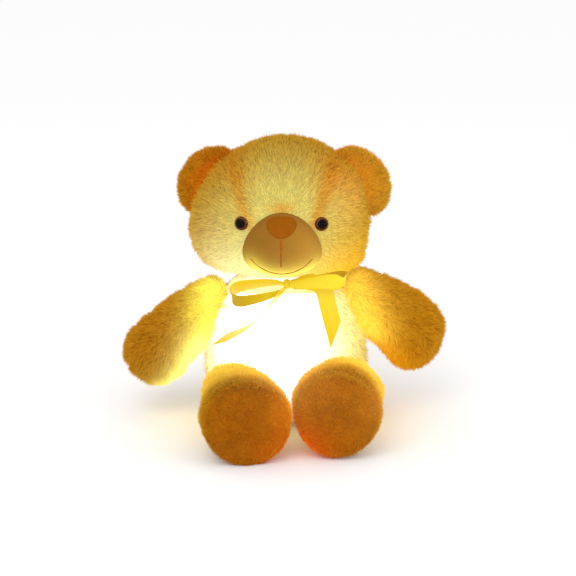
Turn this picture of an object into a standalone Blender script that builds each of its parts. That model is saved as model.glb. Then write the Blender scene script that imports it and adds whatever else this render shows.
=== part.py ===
"""Plush night light: a seated teddy bear with a lamp and a battery case inside.

Metres, +Z up. The bear faces -Y and +X is to the viewer's right. The origin is
the middle of the seat, on the surface that the bear sits on.
"""

import math

import bmesh
import bpy
from mathutils import Matrix, Vector

# Cloth, filling and clearances
skin_wall = 0.0025
filling_gap = 0.0006
fit_gap = 0.0003
swing_room = 0.0006
arm_press_room = 0.0045
leg_press_room = 0.0075
ear_press_room = 0.0006
tape_thickness = 0.0010
cut_overrun = 0.005
press_share = 0.06
press_steps = 180
socket_segments = 20
seam_segments = 18

# Torso
torso_height = 0.186
torso_half_width = 0.094
torso_front = 0.078
torso_back = 0.072
torso_shares = (
    (0.00, 0.62, 0.58, 0.66),
    (0.05, 0.80, 0.78, 0.84),
    (0.11, 0.92, 0.90, 0.95),
    (0.17, 0.97, 0.96, 1.00),
    (0.30, 1.00, 1.00, 1.00),
    (0.46, 1.00, 1.00, 1.00),
    (0.66, 0.93, 0.96, 1.00),
    (0.80, 0.80, 0.88, 0.92),
    (0.91, 0.65, 0.76, 0.80),
    (1.00, 0.44, 0.55, 0.58),
)
torso_rings = 11
torso_segments = 20

# Neck, a ball on the head that turns in a cup of the torso
neck_rise = 0.019
neck_height = torso_height + neck_rise
neck_ball_radius = 0.050
neck_seam_angles = (math.radians(42), math.radians(54))
neck_opening_angle = math.radians(34)
neck_rim_angle = math.radians(72)
head_nod_range = (math.radians(-3), math.radians(8))
ribbon_room = 0.0036

# Head
head_yaw = math.radians(-7)
head_sink = 0.052
head_base = neck_height - head_sink
head_height = 0.194
head_half_width = 0.108
head_front = 0.098
head_back = 0.097
head_shares = (
    (0.172, 0.77, 0.53, 0.76),
    (0.20, 0.84, 0.60, 0.83),
    (0.25, 0.90, 0.70, 0.90),
    (0.33, 0.97, 0.87, 0.97),
    (0.438, 1.00, 1.00, 1.00),
    (0.57, 0.972, 0.972, 0.972),
    (0.69, 0.894, 0.894, 0.894),
    (0.80, 0.765, 0.765, 0.765),
    (0.90, 0.570, 0.570, 0.570),
    (0.97, 0.322, 0.322, 0.322),
    (1.00, 0.06, 0.06, 0.06),
)
head_rings = 11
head_segments = 20

# Muzzle, nose and mouth, on an ellipsoid in front of the head
muzzle_height_share = 0.4665
muzzle_centre = Vector((0, -head_front, head_base + head_height * muzzle_height_share))
muzzle_half_width = 0.044
muzzle_half_depth = 0.038
muzzle_half_height = 0.0345
muzzle_wall = 0.0020
nose_rise = 0.022
nose_half_width = 0.0165
nose_half_height = 0.0098
nose_thickness = 0.0018
nose_narrow_share = 0.22
stitch_radius = 0.0008
mouth_top = 0.009
mouth_bottom = -0.025
smile_half_width = 0.033
smile_bottom = -0.0285
smile_rise = 0.0155

# Eyes, domes with a shank through the cloth and a washer behind it
eye_half_spacing = 0.0467
eye_height_share = 0.5619
eye_height = head_base + head_height * eye_height_share
eye_radius = 0.008
eye_dome = 0.0050
eye_rim = 0.0014
eye_stand = 0.0022
eye_direction = Vector((0.26, -0.94, 0.16))
shank_radius = 0.0020
shank_length = 0.0125
washer_radius = 0.0070
washer_thickness = 0.0014
washer_pocket = 0.0078

# Ears, half discs sewn along the side of the head
ear_side_share = 0.829
ear_height_share = 0.727
ear_behind = 0.004
ear_centre = Vector(
    (
        head_half_width * ear_side_share,
        ear_behind,
        head_base + head_height * ear_height_share,
    )
)
ear_outward_angle = math.radians(34)
ear_half_length = 0.043
ear_reach = 0.038
ear_half_thickness = 0.009
ear_cup = 0.006
ear_bend_range = math.radians(15)

# Arms, seen from the front as left and right
arm_ball_radius = 0.028
arm_shares = (
    (1.05, 0.90),
    (1.40, 1.01),
    (1.85, 1.10),
    (2.40, 1.20),
    (3.05, 1.29),
    (3.65, 1.33),
    (4.15, 1.22),
    (4.55, 0.95),
    (4.80, 0.53),
    (4.88, 0.155),
)
arm_segments = 16
arm_opening_angle = math.radians(128)
arm_neck_angle = math.radians(50)
arm_seam_angles = (math.radians(108), math.radians(122))
left_shoulder_side = 0.083
right_shoulder_side = 0.084
left_shoulder_share = 0.76344
right_shoulder_share = 0.78495
arms = {
    "left": {
        "shoulder": Vector((-left_shoulder_side, 0, torso_height * left_shoulder_share)),
        "drop": math.radians(42),
        "length_share": 1.0,
    },
    "right": {
        "shoulder": Vector((right_shoulder_side, 0, torso_height * right_shoulder_share)),
        "drop": math.radians(32.5),
        "length_share": 0.95,
    },
}
arm_raise_range = (math.radians(-6), math.radians(28))
arm_sweep_range = (math.radians(-15), math.radians(17))

# Legs
leg_ball_radius = 0.042
leg_shares = (
    (0.66, 0.87, 0.88),
    (0.84, 0.91, 0.93),
    (1.04, 0.95, 0.98),
    (1.28, 1.00, 1.05),
    (1.60, 1.06, 1.13),
    (2.15, 1.13, 1.25),
    (2.70, 1.155, 1.298),
    (2.90, 1.12, 1.25),
    (2.97, 1.05, 1.18),
)
leg_top_bulge_share = 0.06
leg_segments = 18
leg_opening_angle = math.radians(126)
leg_neck_angle = math.radians(58)
leg_seam_angles = (math.radians(104), math.radians(118))
legs = {
    "left": {"hip": Vector((-0.062, -0.048, 0.0472)), "foot": Vector((-0.0565, -0.1727, 0.0540))},
    "right": {"hip": Vector((0.062, -0.048, 0.0472)), "foot": Vector((0.0475, -0.1700, 0.0540))},
}
leg_lift_range = (0.0, math.radians(10))
leg_splay_range = (0.0, math.radians(15))
sole_thickness = 0.0022
sole_dome = 0.0045
sole_inset = 0.0006

# Ribbon and bow
ribbon_thickness = 0.0008
ribbon_width = 0.020
neck_ribbon_fall = 0.021
neck_ribbon_band = 0.013
neck_ribbon_low = torso_height - neck_ribbon_fall
neck_ribbon_high = neck_ribbon_low + neck_ribbon_band
ribbon_stand = 0.0009
ribbon_rise = 0.0085
knot_fall = 0.0015
knot_side = -0.004
knot_ahead = 0.0815
knot_centre = Vector((knot_side, -knot_ahead, torso_height - knot_fall))
knot_half_width = 0.0085
knot_half_depth = 0.0075
knot_half_height = 0.0100
knot_waist_share = 0.12
loop_depth = 0.0125
loop_pinch_share = 0.55
loop_half_turn = math.pi * 0.86
loop_flat_share = 0.35
loop_lean_share = 0.12
loops = {
    "left": {"reach": 0.0610, "tip_drop": 0.0070, "tip_half_width": 0.0165},
    "right": {"reach": 0.0610, "tip_drop": -0.0025, "tip_half_width": 0.0125},
}
tails_from_knot = {
    "left": (
        Vector((-0.0040, -0.0041, -0.0119)),
        Vector((-0.0210, -0.0065, -0.0285)),
        Vector((-0.0380, -0.0045, -0.0440)),
        Vector((-0.0600, 0.0035, -0.0535)),
        Vector((-0.0860, 0.0115, -0.0665)),
    ),
    "right": (
        Vector((0.0047, -0.0047, -0.0093)),
        Vector((0.0240, -0.0075, -0.0245)),
        Vector((0.0370, -0.0075, -0.0445)),
        Vector((0.0440, -0.0075, -0.0620)),
        Vector((0.0470, -0.0075, -0.0755)),
    ),
}
tail_pieces = 3
tail_pinch_share = 0.45
tail_lean_share = 0.30

# Zip in the back
zip_low = 0.036
zip_high = 0.118
slit_half_width = 0.0042
zip_tape_width = 0.0105
zip_tape_thickness = 0.0007
zip_tape_depth = 0.0054
tooth_half_width = 0.0024
tooth_depth = 0.0004
chain_thickness = 0.0014
tooth_count = 14
slider_half_width = 0.0038
slider_height = 0.009
slider_plate = 0.0010
slider_lip = 0.0009
bridge_half_width = 0.0008
bridge_height = 0.0040
bridge_leg = 0.0009
bridge_room = 0.0024
bridge_strip = 0.0008
pull_half_width = 0.0026
pull_length = 0.0185
pull_thickness = 0.0009
pull_eye_half_width = 0.0013
pull_eye_end = 0.0038

# Battery case in its pocket
cell_radius = 0.0071
cell_length = 0.0500
cell_count = 3
cell_gap = 0.0006
cell_nub_share = 0.38
cell_neck_share = 0.97
case_wall = 0.0015
case_front = 0.0330
case_low = 0.0390
case_head = 0.0090
contact_thickness = 0.0005
contact_room = 0.0030
spring_foot_share = 0.55
spring_tip_share = 0.30
door_thickness = 0.0015
door_open_range = math.radians(11)
lining_thickness = 0.0008
lining_gap = 0.0006
screw_radius = 0.0012
screw_head_radius = 0.0024
screw_head = 0.0012
screw_length = 0.0060
button_radius = 0.0045
button_stand = 0.0022
button_depth = 0.0030
button_travel = 0.0015
button_offset = 0.0150

# Lamp capsule in the belly
lamp_centre = Vector((0, -0.016, 0.092))
lamp_radius = 0.021
lamp_base_thickness = 0.0060
lamp_step_share = 0.6
board_radius = 0.0180
board_thickness = 0.0012
led_radius = 0.0025
led_height = 0.0045
led_profile_shares = ((1.0, 0.0), (1.0, 0.5), (0.8, 0.82), (0.4, 0.97), (0.06, 1.0))
led_ring = 0.0095
diffuser_wall = 0.0014
lead_radius = 0.0012
lead_bow = 0.0020
channel_radius = 0.0045

parts = None
cutters = None


def new_collections():
    global parts, cutters
    for obj in list(bpy.data.objects):
        bpy.data.objects.remove(obj, do_unlink=True)
    parts = bpy.data.collections.new("plush_night_light")
    cutters = bpy.data.collections.new("cutters")
    for collection in (parts, cutters):
        bpy.context.scene.collection.children.link(collection)


def material(name, colour, roughness, metallic=0.0):
    made = bpy.data.materials.get(name)
    if made is None:
        made = bpy.data.materials.new(name)
        made.use_nodes = True
        shader = made.node_tree.nodes["Principled BSDF"]
        shader.inputs["Base Color"].default_value = (*colour, 1)
        shader.inputs["Roughness"].default_value = roughness
        shader.inputs["Metallic"].default_value = metallic
    return made


def plush():
    return material("honey_plush", (0.48, 0.21, 0.03), 0.95)


def short_pile():
    return material("short_pile_cloth", (0.50, 0.26, 0.08), 0.9)


def filling():
    return material("polyester_filling", (0.90, 0.88, 0.84), 1.0)


def satin():
    return material("yellow_satin", (0.86, 0.66, 0.09), 0.4)


def white_plastic():
    return material("white_plastic", (0.80, 0.80, 0.78), 0.45)


def steel():
    return material("nickel_steel", (0.60, 0.59, 0.57), 0.35, 1.0)


def turn_about(pivot, angle, axis):
    return Matrix.Translation(pivot) @ Matrix.Rotation(angle, 4, axis) @ Matrix.Translation(-pivot)


def joint_empty(name, pivot, parent=None, yaw=0.0):
    """An empty on a joint's axis. What is parented to it is drawn in the unturned frame."""
    empty = bpy.data.objects.new(name, None)
    empty.empty_display_size = eye_radius
    parts.objects.link(empty)
    empty["pivot"] = tuple(pivot)
    if parent is None:
        empty.location = pivot
        empty.rotation_euler = (0, 0, yaw)
    else:
        empty.parent = parent
        empty.location = Vector(pivot) - Vector(parent["pivot"])
    return empty


def add(name, bm, finish, carrier=None, smooth=True, collection=None):
    """Makes an object of the mesh, drawn in the world frame, and hangs it on its carrier."""
    mesh = bpy.data.meshes.new(name)
    bmesh.ops.recalc_face_normals(bm, faces=bm.faces[:])
    if carrier is not None:
        bmesh.ops.translate(bm, verts=bm.verts[:], vec=-Vector(carrier["pivot"]))
    bm.to_mesh(mesh)
    bm.free()
    if smooth:
        mesh.shade_smooth()
        mesh.set_sharp_from_angle(angle=math.radians(40))
    obj = bpy.data.objects.new(name, mesh)
    (collection or parts).objects.link(obj)
    if carrier is not None:
        obj.parent = carrier
    if finish is not None:
        mesh.materials.append(finish)
    return obj


def cutter(name, bm, carrier=None):
    obj = add(name, bm, None, carrier, smooth=False, collection=cutters)
    obj.hide_render = True
    obj.display_type = "WIRE"
    return obj


def cut(obj, *tools):
    for tool in tools:
        boolean = obj.modifiers.new("cut_" + tool.name, "BOOLEAN")
        boolean.operation = "DIFFERENCE"
        boolean.solver = "EXACT"
        boolean.object = tool


def give_wall(obj, thickness, outward=False):
    wall = obj.modifiers.new("wall", "SOLIDIFY")
    wall.thickness = thickness
    wall.offset = 1 if outward else -1


def box(low, high):
    bm = bmesh.new()
    bmesh.ops.create_cube(bm, size=1)
    low = Vector(low)
    high = Vector(high)
    size = high - low
    bmesh.ops.transform(bm, matrix=Matrix.Diagonal((*size, 1)), verts=bm.verts[:])
    bmesh.ops.translate(bm, vec=(low + high) / 2, verts=bm.verts[:])
    return bm


def cylinder(start, end, radius, segments=20, end_radius=None):
    start = Vector(start)
    along = Vector(end) - start
    bm = bmesh.new()
    bmesh.ops.create_cone(
        bm,
        cap_ends=True,
        segments=segments,
        radius1=radius,
        radius2=radius if end_radius is None else end_radius,
        depth=along.length,
    )
    turn = Vector((0, 0, 1)).rotation_difference(along).to_matrix().to_4x4()
    bmesh.ops.transform(bm, matrix=Matrix.Translation(start + along / 2) @ turn, verts=bm.verts[:])
    return bm


def ball(centre, radius, segments=16, rings=8):
    bm = bmesh.new()
    bmesh.ops.create_uvsphere(bm, u_segments=segments, v_segments=rings, radius=radius)
    bmesh.ops.translate(bm, vec=centre, verts=bm.verts[:])
    return bm


def loft(rings, closed_start=True, closed_end=True, triangles=True):
    """A skin through rings of points that match one by one."""
    bm = bmesh.new()
    loops = [[bm.verts.new(point) for point in ring] for ring in rings]
    for low, high in zip(loops, loops[1:]):
        for index in range(len(low)):
            after = (index + 1) % len(low)
            bm.faces.new((low[index], low[after], high[after], high[index]))
    if closed_start:
        bm.faces.new(loops[0])
    if closed_end:
        bm.faces.new(loops[-1])
    bmesh.ops.recalc_face_normals(bm, faces=bm.faces[:])
    if triangles:
        bmesh.ops.triangulate(bm, faces=bm.faces[:])
    return bm


def drawn_in(bm, distance):
    """Moves the surface in along its normals, so that a filling fits inside its skin."""
    bm.normal_update()
    moved = [(vert, vert.co - vert.normal * distance) for vert in bm.verts]
    for vert, place in moved:
        vert.co = place
    return bm


def spin_profile(profile, centre, axis, segments):
    """Turns (radius, height) points about an axis; the two ends lie on the axis or are capped."""
    turn = Vector((0, 0, 1)).rotation_difference(Vector(axis)).to_matrix()
    rings = []
    for radius, height in profile:
        ring = []
        for index in range(segments):
            angle = 2 * math.pi * index / segments
            spot = Vector((radius * math.cos(angle), radius * math.sin(angle), height))
            ring.append(Vector(centre) + turn @ spot)
        rings.append(ring)
    return loft(rings, triangles=False)


def read_table(rows, at):
    """The columns of a table at a height, on curves that never overshoot its rows."""
    at = min(max(at, rows[0][0]), rows[-1][0])
    index = max(k for k in range(len(rows) - 1) if rows[k][0] <= at)
    start, end = rows[index], rows[index + 1]
    span = end[0] - start[0]
    share = (at - start[0]) / span
    values = []
    for column in range(1, len(rows[0])):
        slopes = []
        for k in (index, index + 1):
            if k in (0, len(rows) - 1):
                slopes.append((end[column] - start[column]) / span)
                continue
            before = (rows[k][column] - rows[k - 1][column]) / (rows[k][0] - rows[k - 1][0])
            after = (rows[k + 1][column] - rows[k][column]) / (rows[k + 1][0] - rows[k][0])
            flat = before * after <= 0
            slopes.append(0 if flat else 2 * before * after / (before + after))
        square, cube = share**2, share**3
        values.append(
            (2 * cube - 3 * square + 1) * start[column]
            + (cube - 2 * square + share) * span * slopes[0]
            + (3 * square - 2 * cube) * end[column]
            + (cube - square) * span * slopes[1]
        )
    return values


def torso_section(height):
    """Half width, front depth and back depth of the torso at a height."""
    width, front, back = read_table(torso_shares, height / torso_height)
    return torso_half_width * width, torso_front * front, torso_back * back


def head_section(height):
    width, front, back = read_table(head_shares, (height - head_base) / head_height)
    return head_half_width * width, head_front * front, head_back * back


def upright_ring(section, height, segments, spare=0.0):
    width, front, back = section(height)
    ring = []
    for index in range(segments):
        angle = 2 * math.pi * (index / segments)
        depth = front if math.sin(angle) < 0 else back
        ring.append(
            Vector(
                (
                    (width + spare) * math.cos(angle),
                    (depth + spare) * math.sin(angle),
                    height,
                )
            )
        )
    return ring


def inside_upright(section, low, high, point, spare):
    if not low - spare < point.z < high + spare:
        return False
    width, front, back = section(min(max(point.z, low), high))
    depth = front if point.y < 0 else back
    return math.hypot(point.x / (width + spare), point.y / (depth + spare)) < 1


def pressed(point, blocked, swings, pull):
    """Draws a point of a soft form in until no swing carries it into what it leans on."""
    for _ in range(press_steps):
        if not any(blocked(swing @ point) for swing in swings):
            return point
        point = pull(point)
    return point


def seam_inner(radius):
    return (radius + swing_room) / math.cos(math.pi / seam_segments)


def seam_tape(name, centre, axis, radius, angles, carrier):
    """A thin knitted tape round the ball of a seam."""
    inner = seam_inner(radius)
    outer = inner + tape_thickness
    profile = []
    steps = 2
    for step in range(steps + 1):
        angle = angles[0] + (angles[1] - angles[0]) * step / steps
        profile.append((outer * math.sin(angle), outer * math.cos(angle)))
    for step in range(steps, -1, -1):
        angle = angles[0] + (angles[1] - angles[0]) * step / steps
        profile.append((inner * math.sin(angle), inner * math.cos(angle)))
    turn = Vector((0, 0, 1)).rotation_difference(Vector(axis)).to_matrix()
    segments = seam_segments
    bm = bmesh.new()
    loops = []
    for index in range(segments):
        around = 2 * math.pi * index / segments
        loops.append(
            [
                bm.verts.new(
                    Vector(centre)
                    + turn @ Vector((r * math.cos(around), r * math.sin(around), h))
                )
                for r, h in profile
            ]
        )
    for index in range(segments):
        here, there = loops[index], loops[(index + 1) % segments]
        for k in range(len(profile)):
            after = (k + 1) % len(profile)
            bm.faces.new((here[k], here[after], there[after], there[k]))
    return add(name, bm, material("seam_tape", (0.75, 0.60, 0.35), 0.9), carrier)


def socket_radius(radius):
    """The cup in which a ball and its seam tape turn, outside their facets."""
    flat = math.cos(math.pi / socket_segments) ** 2
    return (seam_inner(radius) + tape_thickness + fit_gap) / flat


def socket_cutter(name, centre, radius):
    round_form = ball(centre, socket_radius(radius), socket_segments, socket_segments // 2)
    return cutter(name, round_form)


# Torso


def torso_rings_of(segments=torso_segments):
    rings = []
    for index in range(torso_rings):
        share = index / (torso_rings - 1)
        eased = share - math.sin(2 * math.pi * share) / (4 * math.pi)
        rings.append(upright_ring(torso_section, torso_height * eased, segments))
    return rings


def make_torso(sockets, slit):
    skin = add("torso_skin", loft(torso_rings_of()), plush())
    give_wall(skin, skin_wall)
    cut(skin, *sockets, slit)
    core = drawn_in(loft(torso_rings_of()), skin_wall + filling_gap)
    stuffing = add("torso_stuffing", core, filling())
    cut(stuffing, *sockets)
    return stuffing


# Head


def neck_ball_ring(angle, segments):
    ring = []
    for index in range(segments):
        around = 2 * math.pi * index / segments
        reach = neck_ball_radius * math.sin(angle)
        ring.append(
            Vector(
                (
                    reach * math.cos(around),
                    reach * math.sin(around),
                    neck_height - neck_ball_radius * math.cos(angle),
                )
            )
        )
    return ring


def head_rings_of(segments=head_segments):
    neck = Vector((0, 0, neck_height))
    middle = Vector((0, 0, head_base + head_height / 2))
    swings = [turn_about(neck, -angle, "X") for angle in (head_nod_range[0], 0, head_nod_range[1])]

    def blocked(point):
        if (point - neck).length < neck_ball_radius + fit_gap:
            return False
        return inside_upright(
            torso_section, 0, torso_height, point, swing_room + ribbon_room
        )

    rings = []
    steps = 4
    for step in range(steps):
        angle = neck_opening_angle + (neck_rim_angle - neck_opening_angle) * step / (steps - 1)
        rings.append(neck_ball_ring(angle, segments))
    low = head_shares[0][0]
    for index in range(head_rings):
        share = index / (head_rings - 1)
        eased = low + (1 - low) * (1 - math.cos(math.pi * share)) / 2
        ring = upright_ring(head_section, head_base + head_height * eased, segments)
        rings.append(
            [
                pressed(p, blocked, swings, lambda q: q.lerp(middle, press_share / 2))
                for p in ring
            ]
        )
    return rings


def inside_head(point, spare):
    low = head_base + head_height * head_shares[0][0]
    return inside_upright(head_section, low, head_base + head_height, point, spare)


def make_head(carrier):
    skin = add("head_skin", loft(head_rings_of(), closed_start=False), plush(), carrier)
    give_wall(skin, skin_wall)
    core = drawn_in(loft(head_rings_of()), skin_wall + filling_gap)
    stuffing = add("head_stuffing", core, filling(), carrier)
    shell = drawn_in(loft(head_rings_of()), -fit_gap)
    return skin, stuffing, cutter("head_form", shell, carrier)


def muzzle_shape(inset, segments=16, rings=9):
    bm = ball(Vector(), 1, segments, rings)
    sizes = (
        muzzle_half_width - inset,
        muzzle_half_depth - inset,
        muzzle_half_height - inset,
    )
    bmesh.ops.transform(bm, matrix=Matrix.Diagonal((*sizes, 1)), verts=bm.verts[:])
    bmesh.ops.translate(bm, vec=muzzle_centre, verts=bm.verts[:])
    bmesh.ops.triangulate(bm, faces=bm.faces[:])
    return bm


def on_muzzle(x, z, stand):
    """The point of the muzzle in front of (x, z), a little proud of its cloth."""
    width = muzzle_half_width + stand
    height = muzzle_half_height + stand
    left = 1 - (x / width) ** 2 - ((z - muzzle_centre.z) / height) ** 2
    depth = (muzzle_half_depth + stand) * math.sqrt(max(left, 0))
    return Vector((x, muzzle_centre.y - depth, z))


def make_muzzle(head_form, carrier):
    skin = add("muzzle_skin", muzzle_shape(0), short_pile(), carrier)
    give_wall(skin, muzzle_wall)
    cut(skin, head_form)
    core = add("muzzle_stuffing", muzzle_shape(muzzle_wall + filling_gap), filling(), carrier)
    cut(core, head_form)


def make_nose(carrier):
    """A rounded triangle of short cloth, laid on the top of the muzzle."""
    segments = 14
    rings = 3
    bm = bmesh.new()
    loops = []
    for step in range(1, rings + 1):
        share = step / rings
        loop = []
        for index in range(segments):
            angle = 2 * math.pi * index / segments
            narrow = 1 + nose_narrow_share * math.sin(angle)
            x = share * nose_half_width * math.cos(angle) * narrow
            z = muzzle_centre.z + nose_rise + share * nose_half_height * math.sin(angle)
            loop.append(bm.verts.new(on_muzzle(x, z, fit_gap + stitch_radius / 2)))
        loops.append(loop)
    middle = bm.verts.new(on_muzzle(0, muzzle_centre.z + nose_rise, fit_gap + stitch_radius / 2))
    for index in range(segments):
        after = (index + 1) % segments
        bm.faces.new((middle, loops[0][index], loops[0][after]))
        for low, high in zip(loops, loops[1:]):
            bm.faces.new((low[index], high[index], high[after], low[after]))
    bmesh.ops.recalc_face_normals(bm, faces=bm.faces[:])
    if bm.faces[0].normal.y > 0:
        bmesh.ops.reverse_faces(bm, faces=bm.faces[:])
    nose = bpy.data.meshes.new("nose_patch")
    bmesh.ops.translate(bm, verts=bm.verts[:], vec=-Vector(carrier["pivot"]))
    bm.to_mesh(nose)
    bm.free()
    nose.shade_smooth()
    obj = bpy.data.objects.new("nose_patch", nose)
    parts.objects.link(obj)
    obj.parent = carrier
    nose.materials.append(material("nose_cloth", (0.45, 0.17, 0.02), 0.85))
    give_wall(obj, nose_thickness, outward=True)


def tube(name, points, radius, finish, carrier=None, resolution=1):
    curve = bpy.data.curves.new(name, "CURVE")
    curve.dimensions = "3D"
    curve.bevel_depth = radius
    curve.bevel_resolution = resolution
    curve.use_fill_caps = True
    spline = curve.splines.new("POLY")
    spline.points.add(len(points) - 1)
    shift = Vector(carrier["pivot"]) if carrier is not None else Vector()
    for spot, point in zip(spline.points, points):
        spot.co = (*(Vector(point) - shift), 1)
    obj = bpy.data.objects.new(name, curve)
    parts.objects.link(obj)
    if carrier is not None:
        obj.parent = carrier
    curve.materials.append(finish)
    return obj


def make_mouth(carrier):
    thread = material("brown_thread", (0.30, 0.12, 0.02), 0.8)
    stand = stitch_radius + fit_gap
    steps = 8
    line = []
    for step in range(steps + 1):
        z = muzzle_centre.z + mouth_top + (mouth_bottom - mouth_top) * step / steps
        line.append(on_muzzle(0, z, stand))
    tube("mouth_stitch", line, stitch_radius, thread, carrier)
    steps = 14
    smile = []
    for step in range(steps + 1):
        share = 2 * step / steps - 1
        z = muzzle_centre.z + smile_bottom + smile_rise * share**2
        smile.append(on_muzzle(share * smile_half_width, z, stand))
    tube("smile_stitch", smile, stitch_radius, thread, carrier)


def make_eye(side, sign, skin, stuffing, carrier):
    width, front, _ = head_section(eye_height)
    x = sign * eye_half_spacing
    surface = Vector((x, -front * math.sqrt(1 - (x / width) ** 2), eye_height))
    out = Vector((sign * eye_direction.x, eye_direction.y, eye_direction.z)).normalized()
    seat = surface + out * eye_stand
    steps = 4
    profile = [(shank_radius * press_share, -shank_length), (shank_radius, -shank_length)]
    profile += [(shank_radius, 0), (eye_radius, 0), (eye_radius, eye_rim)]
    for step in range(1, steps):
        angle = math.pi / 2 * step / steps
        profile.append(
            (
                eye_radius * math.cos(angle),
                eye_rim + (eye_dome - eye_rim) * math.sin(angle),
            )
        )
    profile.append((eye_radius * press_share, eye_dome))
    bead = spin_profile(profile, seat, out, 12)
    add(f"eye_{side}", bead, material("eye_plastic", (0.05, 0.02, 0.01), 0.12), carrier)
    hole = cylinder(seat, seat - out * shank_length, shank_radius + fit_gap * 2, 10)
    cut(skin, cutter(f"shank_hole_{side}", hole, carrier))
    back = surface - out * washer_pocket
    pocket_end = seat - out * (shank_length + washer_thickness)
    pocket = cylinder(seat, pocket_end, washer_radius + fit_gap * 2, 12)
    cut(stuffing, cutter(f"washer_pocket_{side}", pocket, carrier))
    washer = spin_profile(
        (
            (shank_radius + fit_gap, 0),
            (washer_radius, 0),
            (washer_radius, washer_thickness),
            (shank_radius + fit_gap, washer_thickness),
        ),
        back,
        out,
        12,
    )
    ring_faces = [face for face in washer.faces if len(face.verts) > 4]
    bmesh.ops.delete(washer, geom=ring_faces, context="FACES")
    loops = [edge for edge in washer.edges if edge.is_boundary]
    bmesh.ops.bridge_loops(washer, edges=loops)
    add(f"eye_washer_{side}", washer, white_plastic(), carrier)


def make_ear(side, sign, head):
    """A padded half disc. Its root follows the head and stays clear of it as it bends."""
    centre = Vector((sign * ear_centre.x, ear_centre.y, ear_centre.z))
    outward = Vector((sign * math.cos(ear_outward_angle), 0, math.sin(ear_outward_angle)))
    along = Vector((-sign * math.sin(ear_outward_angle), 0, math.cos(ear_outward_angle)))
    carrier = joint_empty(f"ear_{side}_bend", centre, head)
    bends = (-ear_bend_range, -ear_bend_range / 2, 0, ear_bend_range / 2, ear_bend_range)
    swings = [turn_about(centre, angle, along) for angle in bends]
    bm = ball(Vector(), 1, 14, 8)
    for vert in bm.verts:
        thick, reach, length = vert.co.z, vert.co.x, vert.co.y
        rim = math.hypot(reach, length)
        spot = (
            centre
            + outward * ear_reach * reach
            + along * ear_half_length * length
            + Vector((0, 1, 0)) * (ear_half_thickness * thick - ear_cup * rim**2)
        )
        vert.co = pressed(
            spot,
            lambda point: inside_head(point, ear_press_room),
            swings,
            lambda point: point + outward * fit_gap,
        )
    bmesh.ops.triangulate(bm, faces=bm.faces[:])
    add(f"ear_{side}", bm, plush(), carrier)


# Limbs


def limb_ring(pivot, axis, side_axis, up_axis, along, half_width, half_height, segments, bulge=0.0):
    ring = []
    for index in range(segments):
        angle = 2 * math.pi * index / segments
        widen = 1 + bulge * math.sin(angle)
        ring.append(
            pivot
            + axis * along
            + side_axis * half_width * math.cos(angle) * widen
            + up_axis * half_height * math.sin(angle)
        )
    return ring


def limb_ball(radius, opening, neck, steps):
    """(along, radius) of the rings on the ball of a limb, from its open root to its neck."""
    rows = []
    for step in range(steps):
        angle = opening + (neck - opening) * step / (steps - 1)
        rows.append((radius * math.cos(angle), radius * math.sin(angle)))
    return rows


def clear_of_torso(rings, pivot, ball_radius, axis, swings, room):
    def blocked(point):
        if (point - pivot).length < ball_radius + fit_gap:
            return False
        return inside_upright(torso_section, 0, torso_height, point, room)

    def pull(point):
        nearer = max((point - pivot).dot(axis) - ball_radius, 0)
        return point.lerp(pivot + axis * nearer, press_share)

    return [[pressed(point, blocked, swings, pull) for point in ring] for ring in rings]


def arm_rings(side):
    sign = -1 if side == "left" else 1
    pivot = arms[side]["shoulder"]
    drop = arms[side]["drop"]
    axis = Vector((sign * math.cos(drop), 0, -math.sin(drop)))
    front = Vector((0, -1, 0))
    above = axis.cross(front) * -sign
    rings = []
    for along, radius in limb_ball(arm_ball_radius, arm_opening_angle, arm_neck_angle, 4):
        rings.append(limb_ring(pivot, axis, front, above, along, radius, radius, arm_segments))
    for along_share, radius_share in arm_shares:
        along = arm_ball_radius * along_share * arms[side]["length_share"]
        radius = arm_ball_radius * radius_share
        rings.append(limb_ring(pivot, axis, front, above, along, radius, radius, arm_segments))
    swings = []
    for sweep in (*arm_sweep_range, 0):
        for lift in (*arm_raise_range, 0):
            swings.append(
                turn_about(pivot, -sign * sweep, "Z") @ turn_about(pivot, -sign * lift, "Y")
            )
    return clear_of_torso(rings, pivot, arm_ball_radius, axis, swings, arm_press_room)


def make_arm(side, torso):
    pivot = arms[side]["shoulder"]
    sign = -1 if side == "left" else 1
    drop = arms[side]["drop"]
    axis = Vector((sign * math.cos(drop), 0, -math.sin(drop)))
    sweep = joint_empty(f"arm_{side}_sweep", pivot, torso)
    lift = joint_empty(f"arm_{side}_raise", pivot, sweep)
    seam_tape(f"shoulder_seam_{side}", pivot, axis, arm_ball_radius, arm_seam_angles, sweep)
    skin = add(
        f"arm_{side}_skin", loft(arm_rings(side), closed_start=False), plush(), lift
    )
    give_wall(skin, skin_wall)
    core = drawn_in(loft(arm_rings(side)), skin_wall + filling_gap)
    add(f"arm_{side}_stuffing", core, filling(), lift)


def leg_frame(side):
    pivot = legs[side]["hip"]
    axis = (legs[side]["foot"] - pivot).normalized()
    across = Vector((0, 0, 1)).cross(axis).normalized()
    above = axis.cross(across).normalized()
    return pivot, axis, across, above


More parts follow.
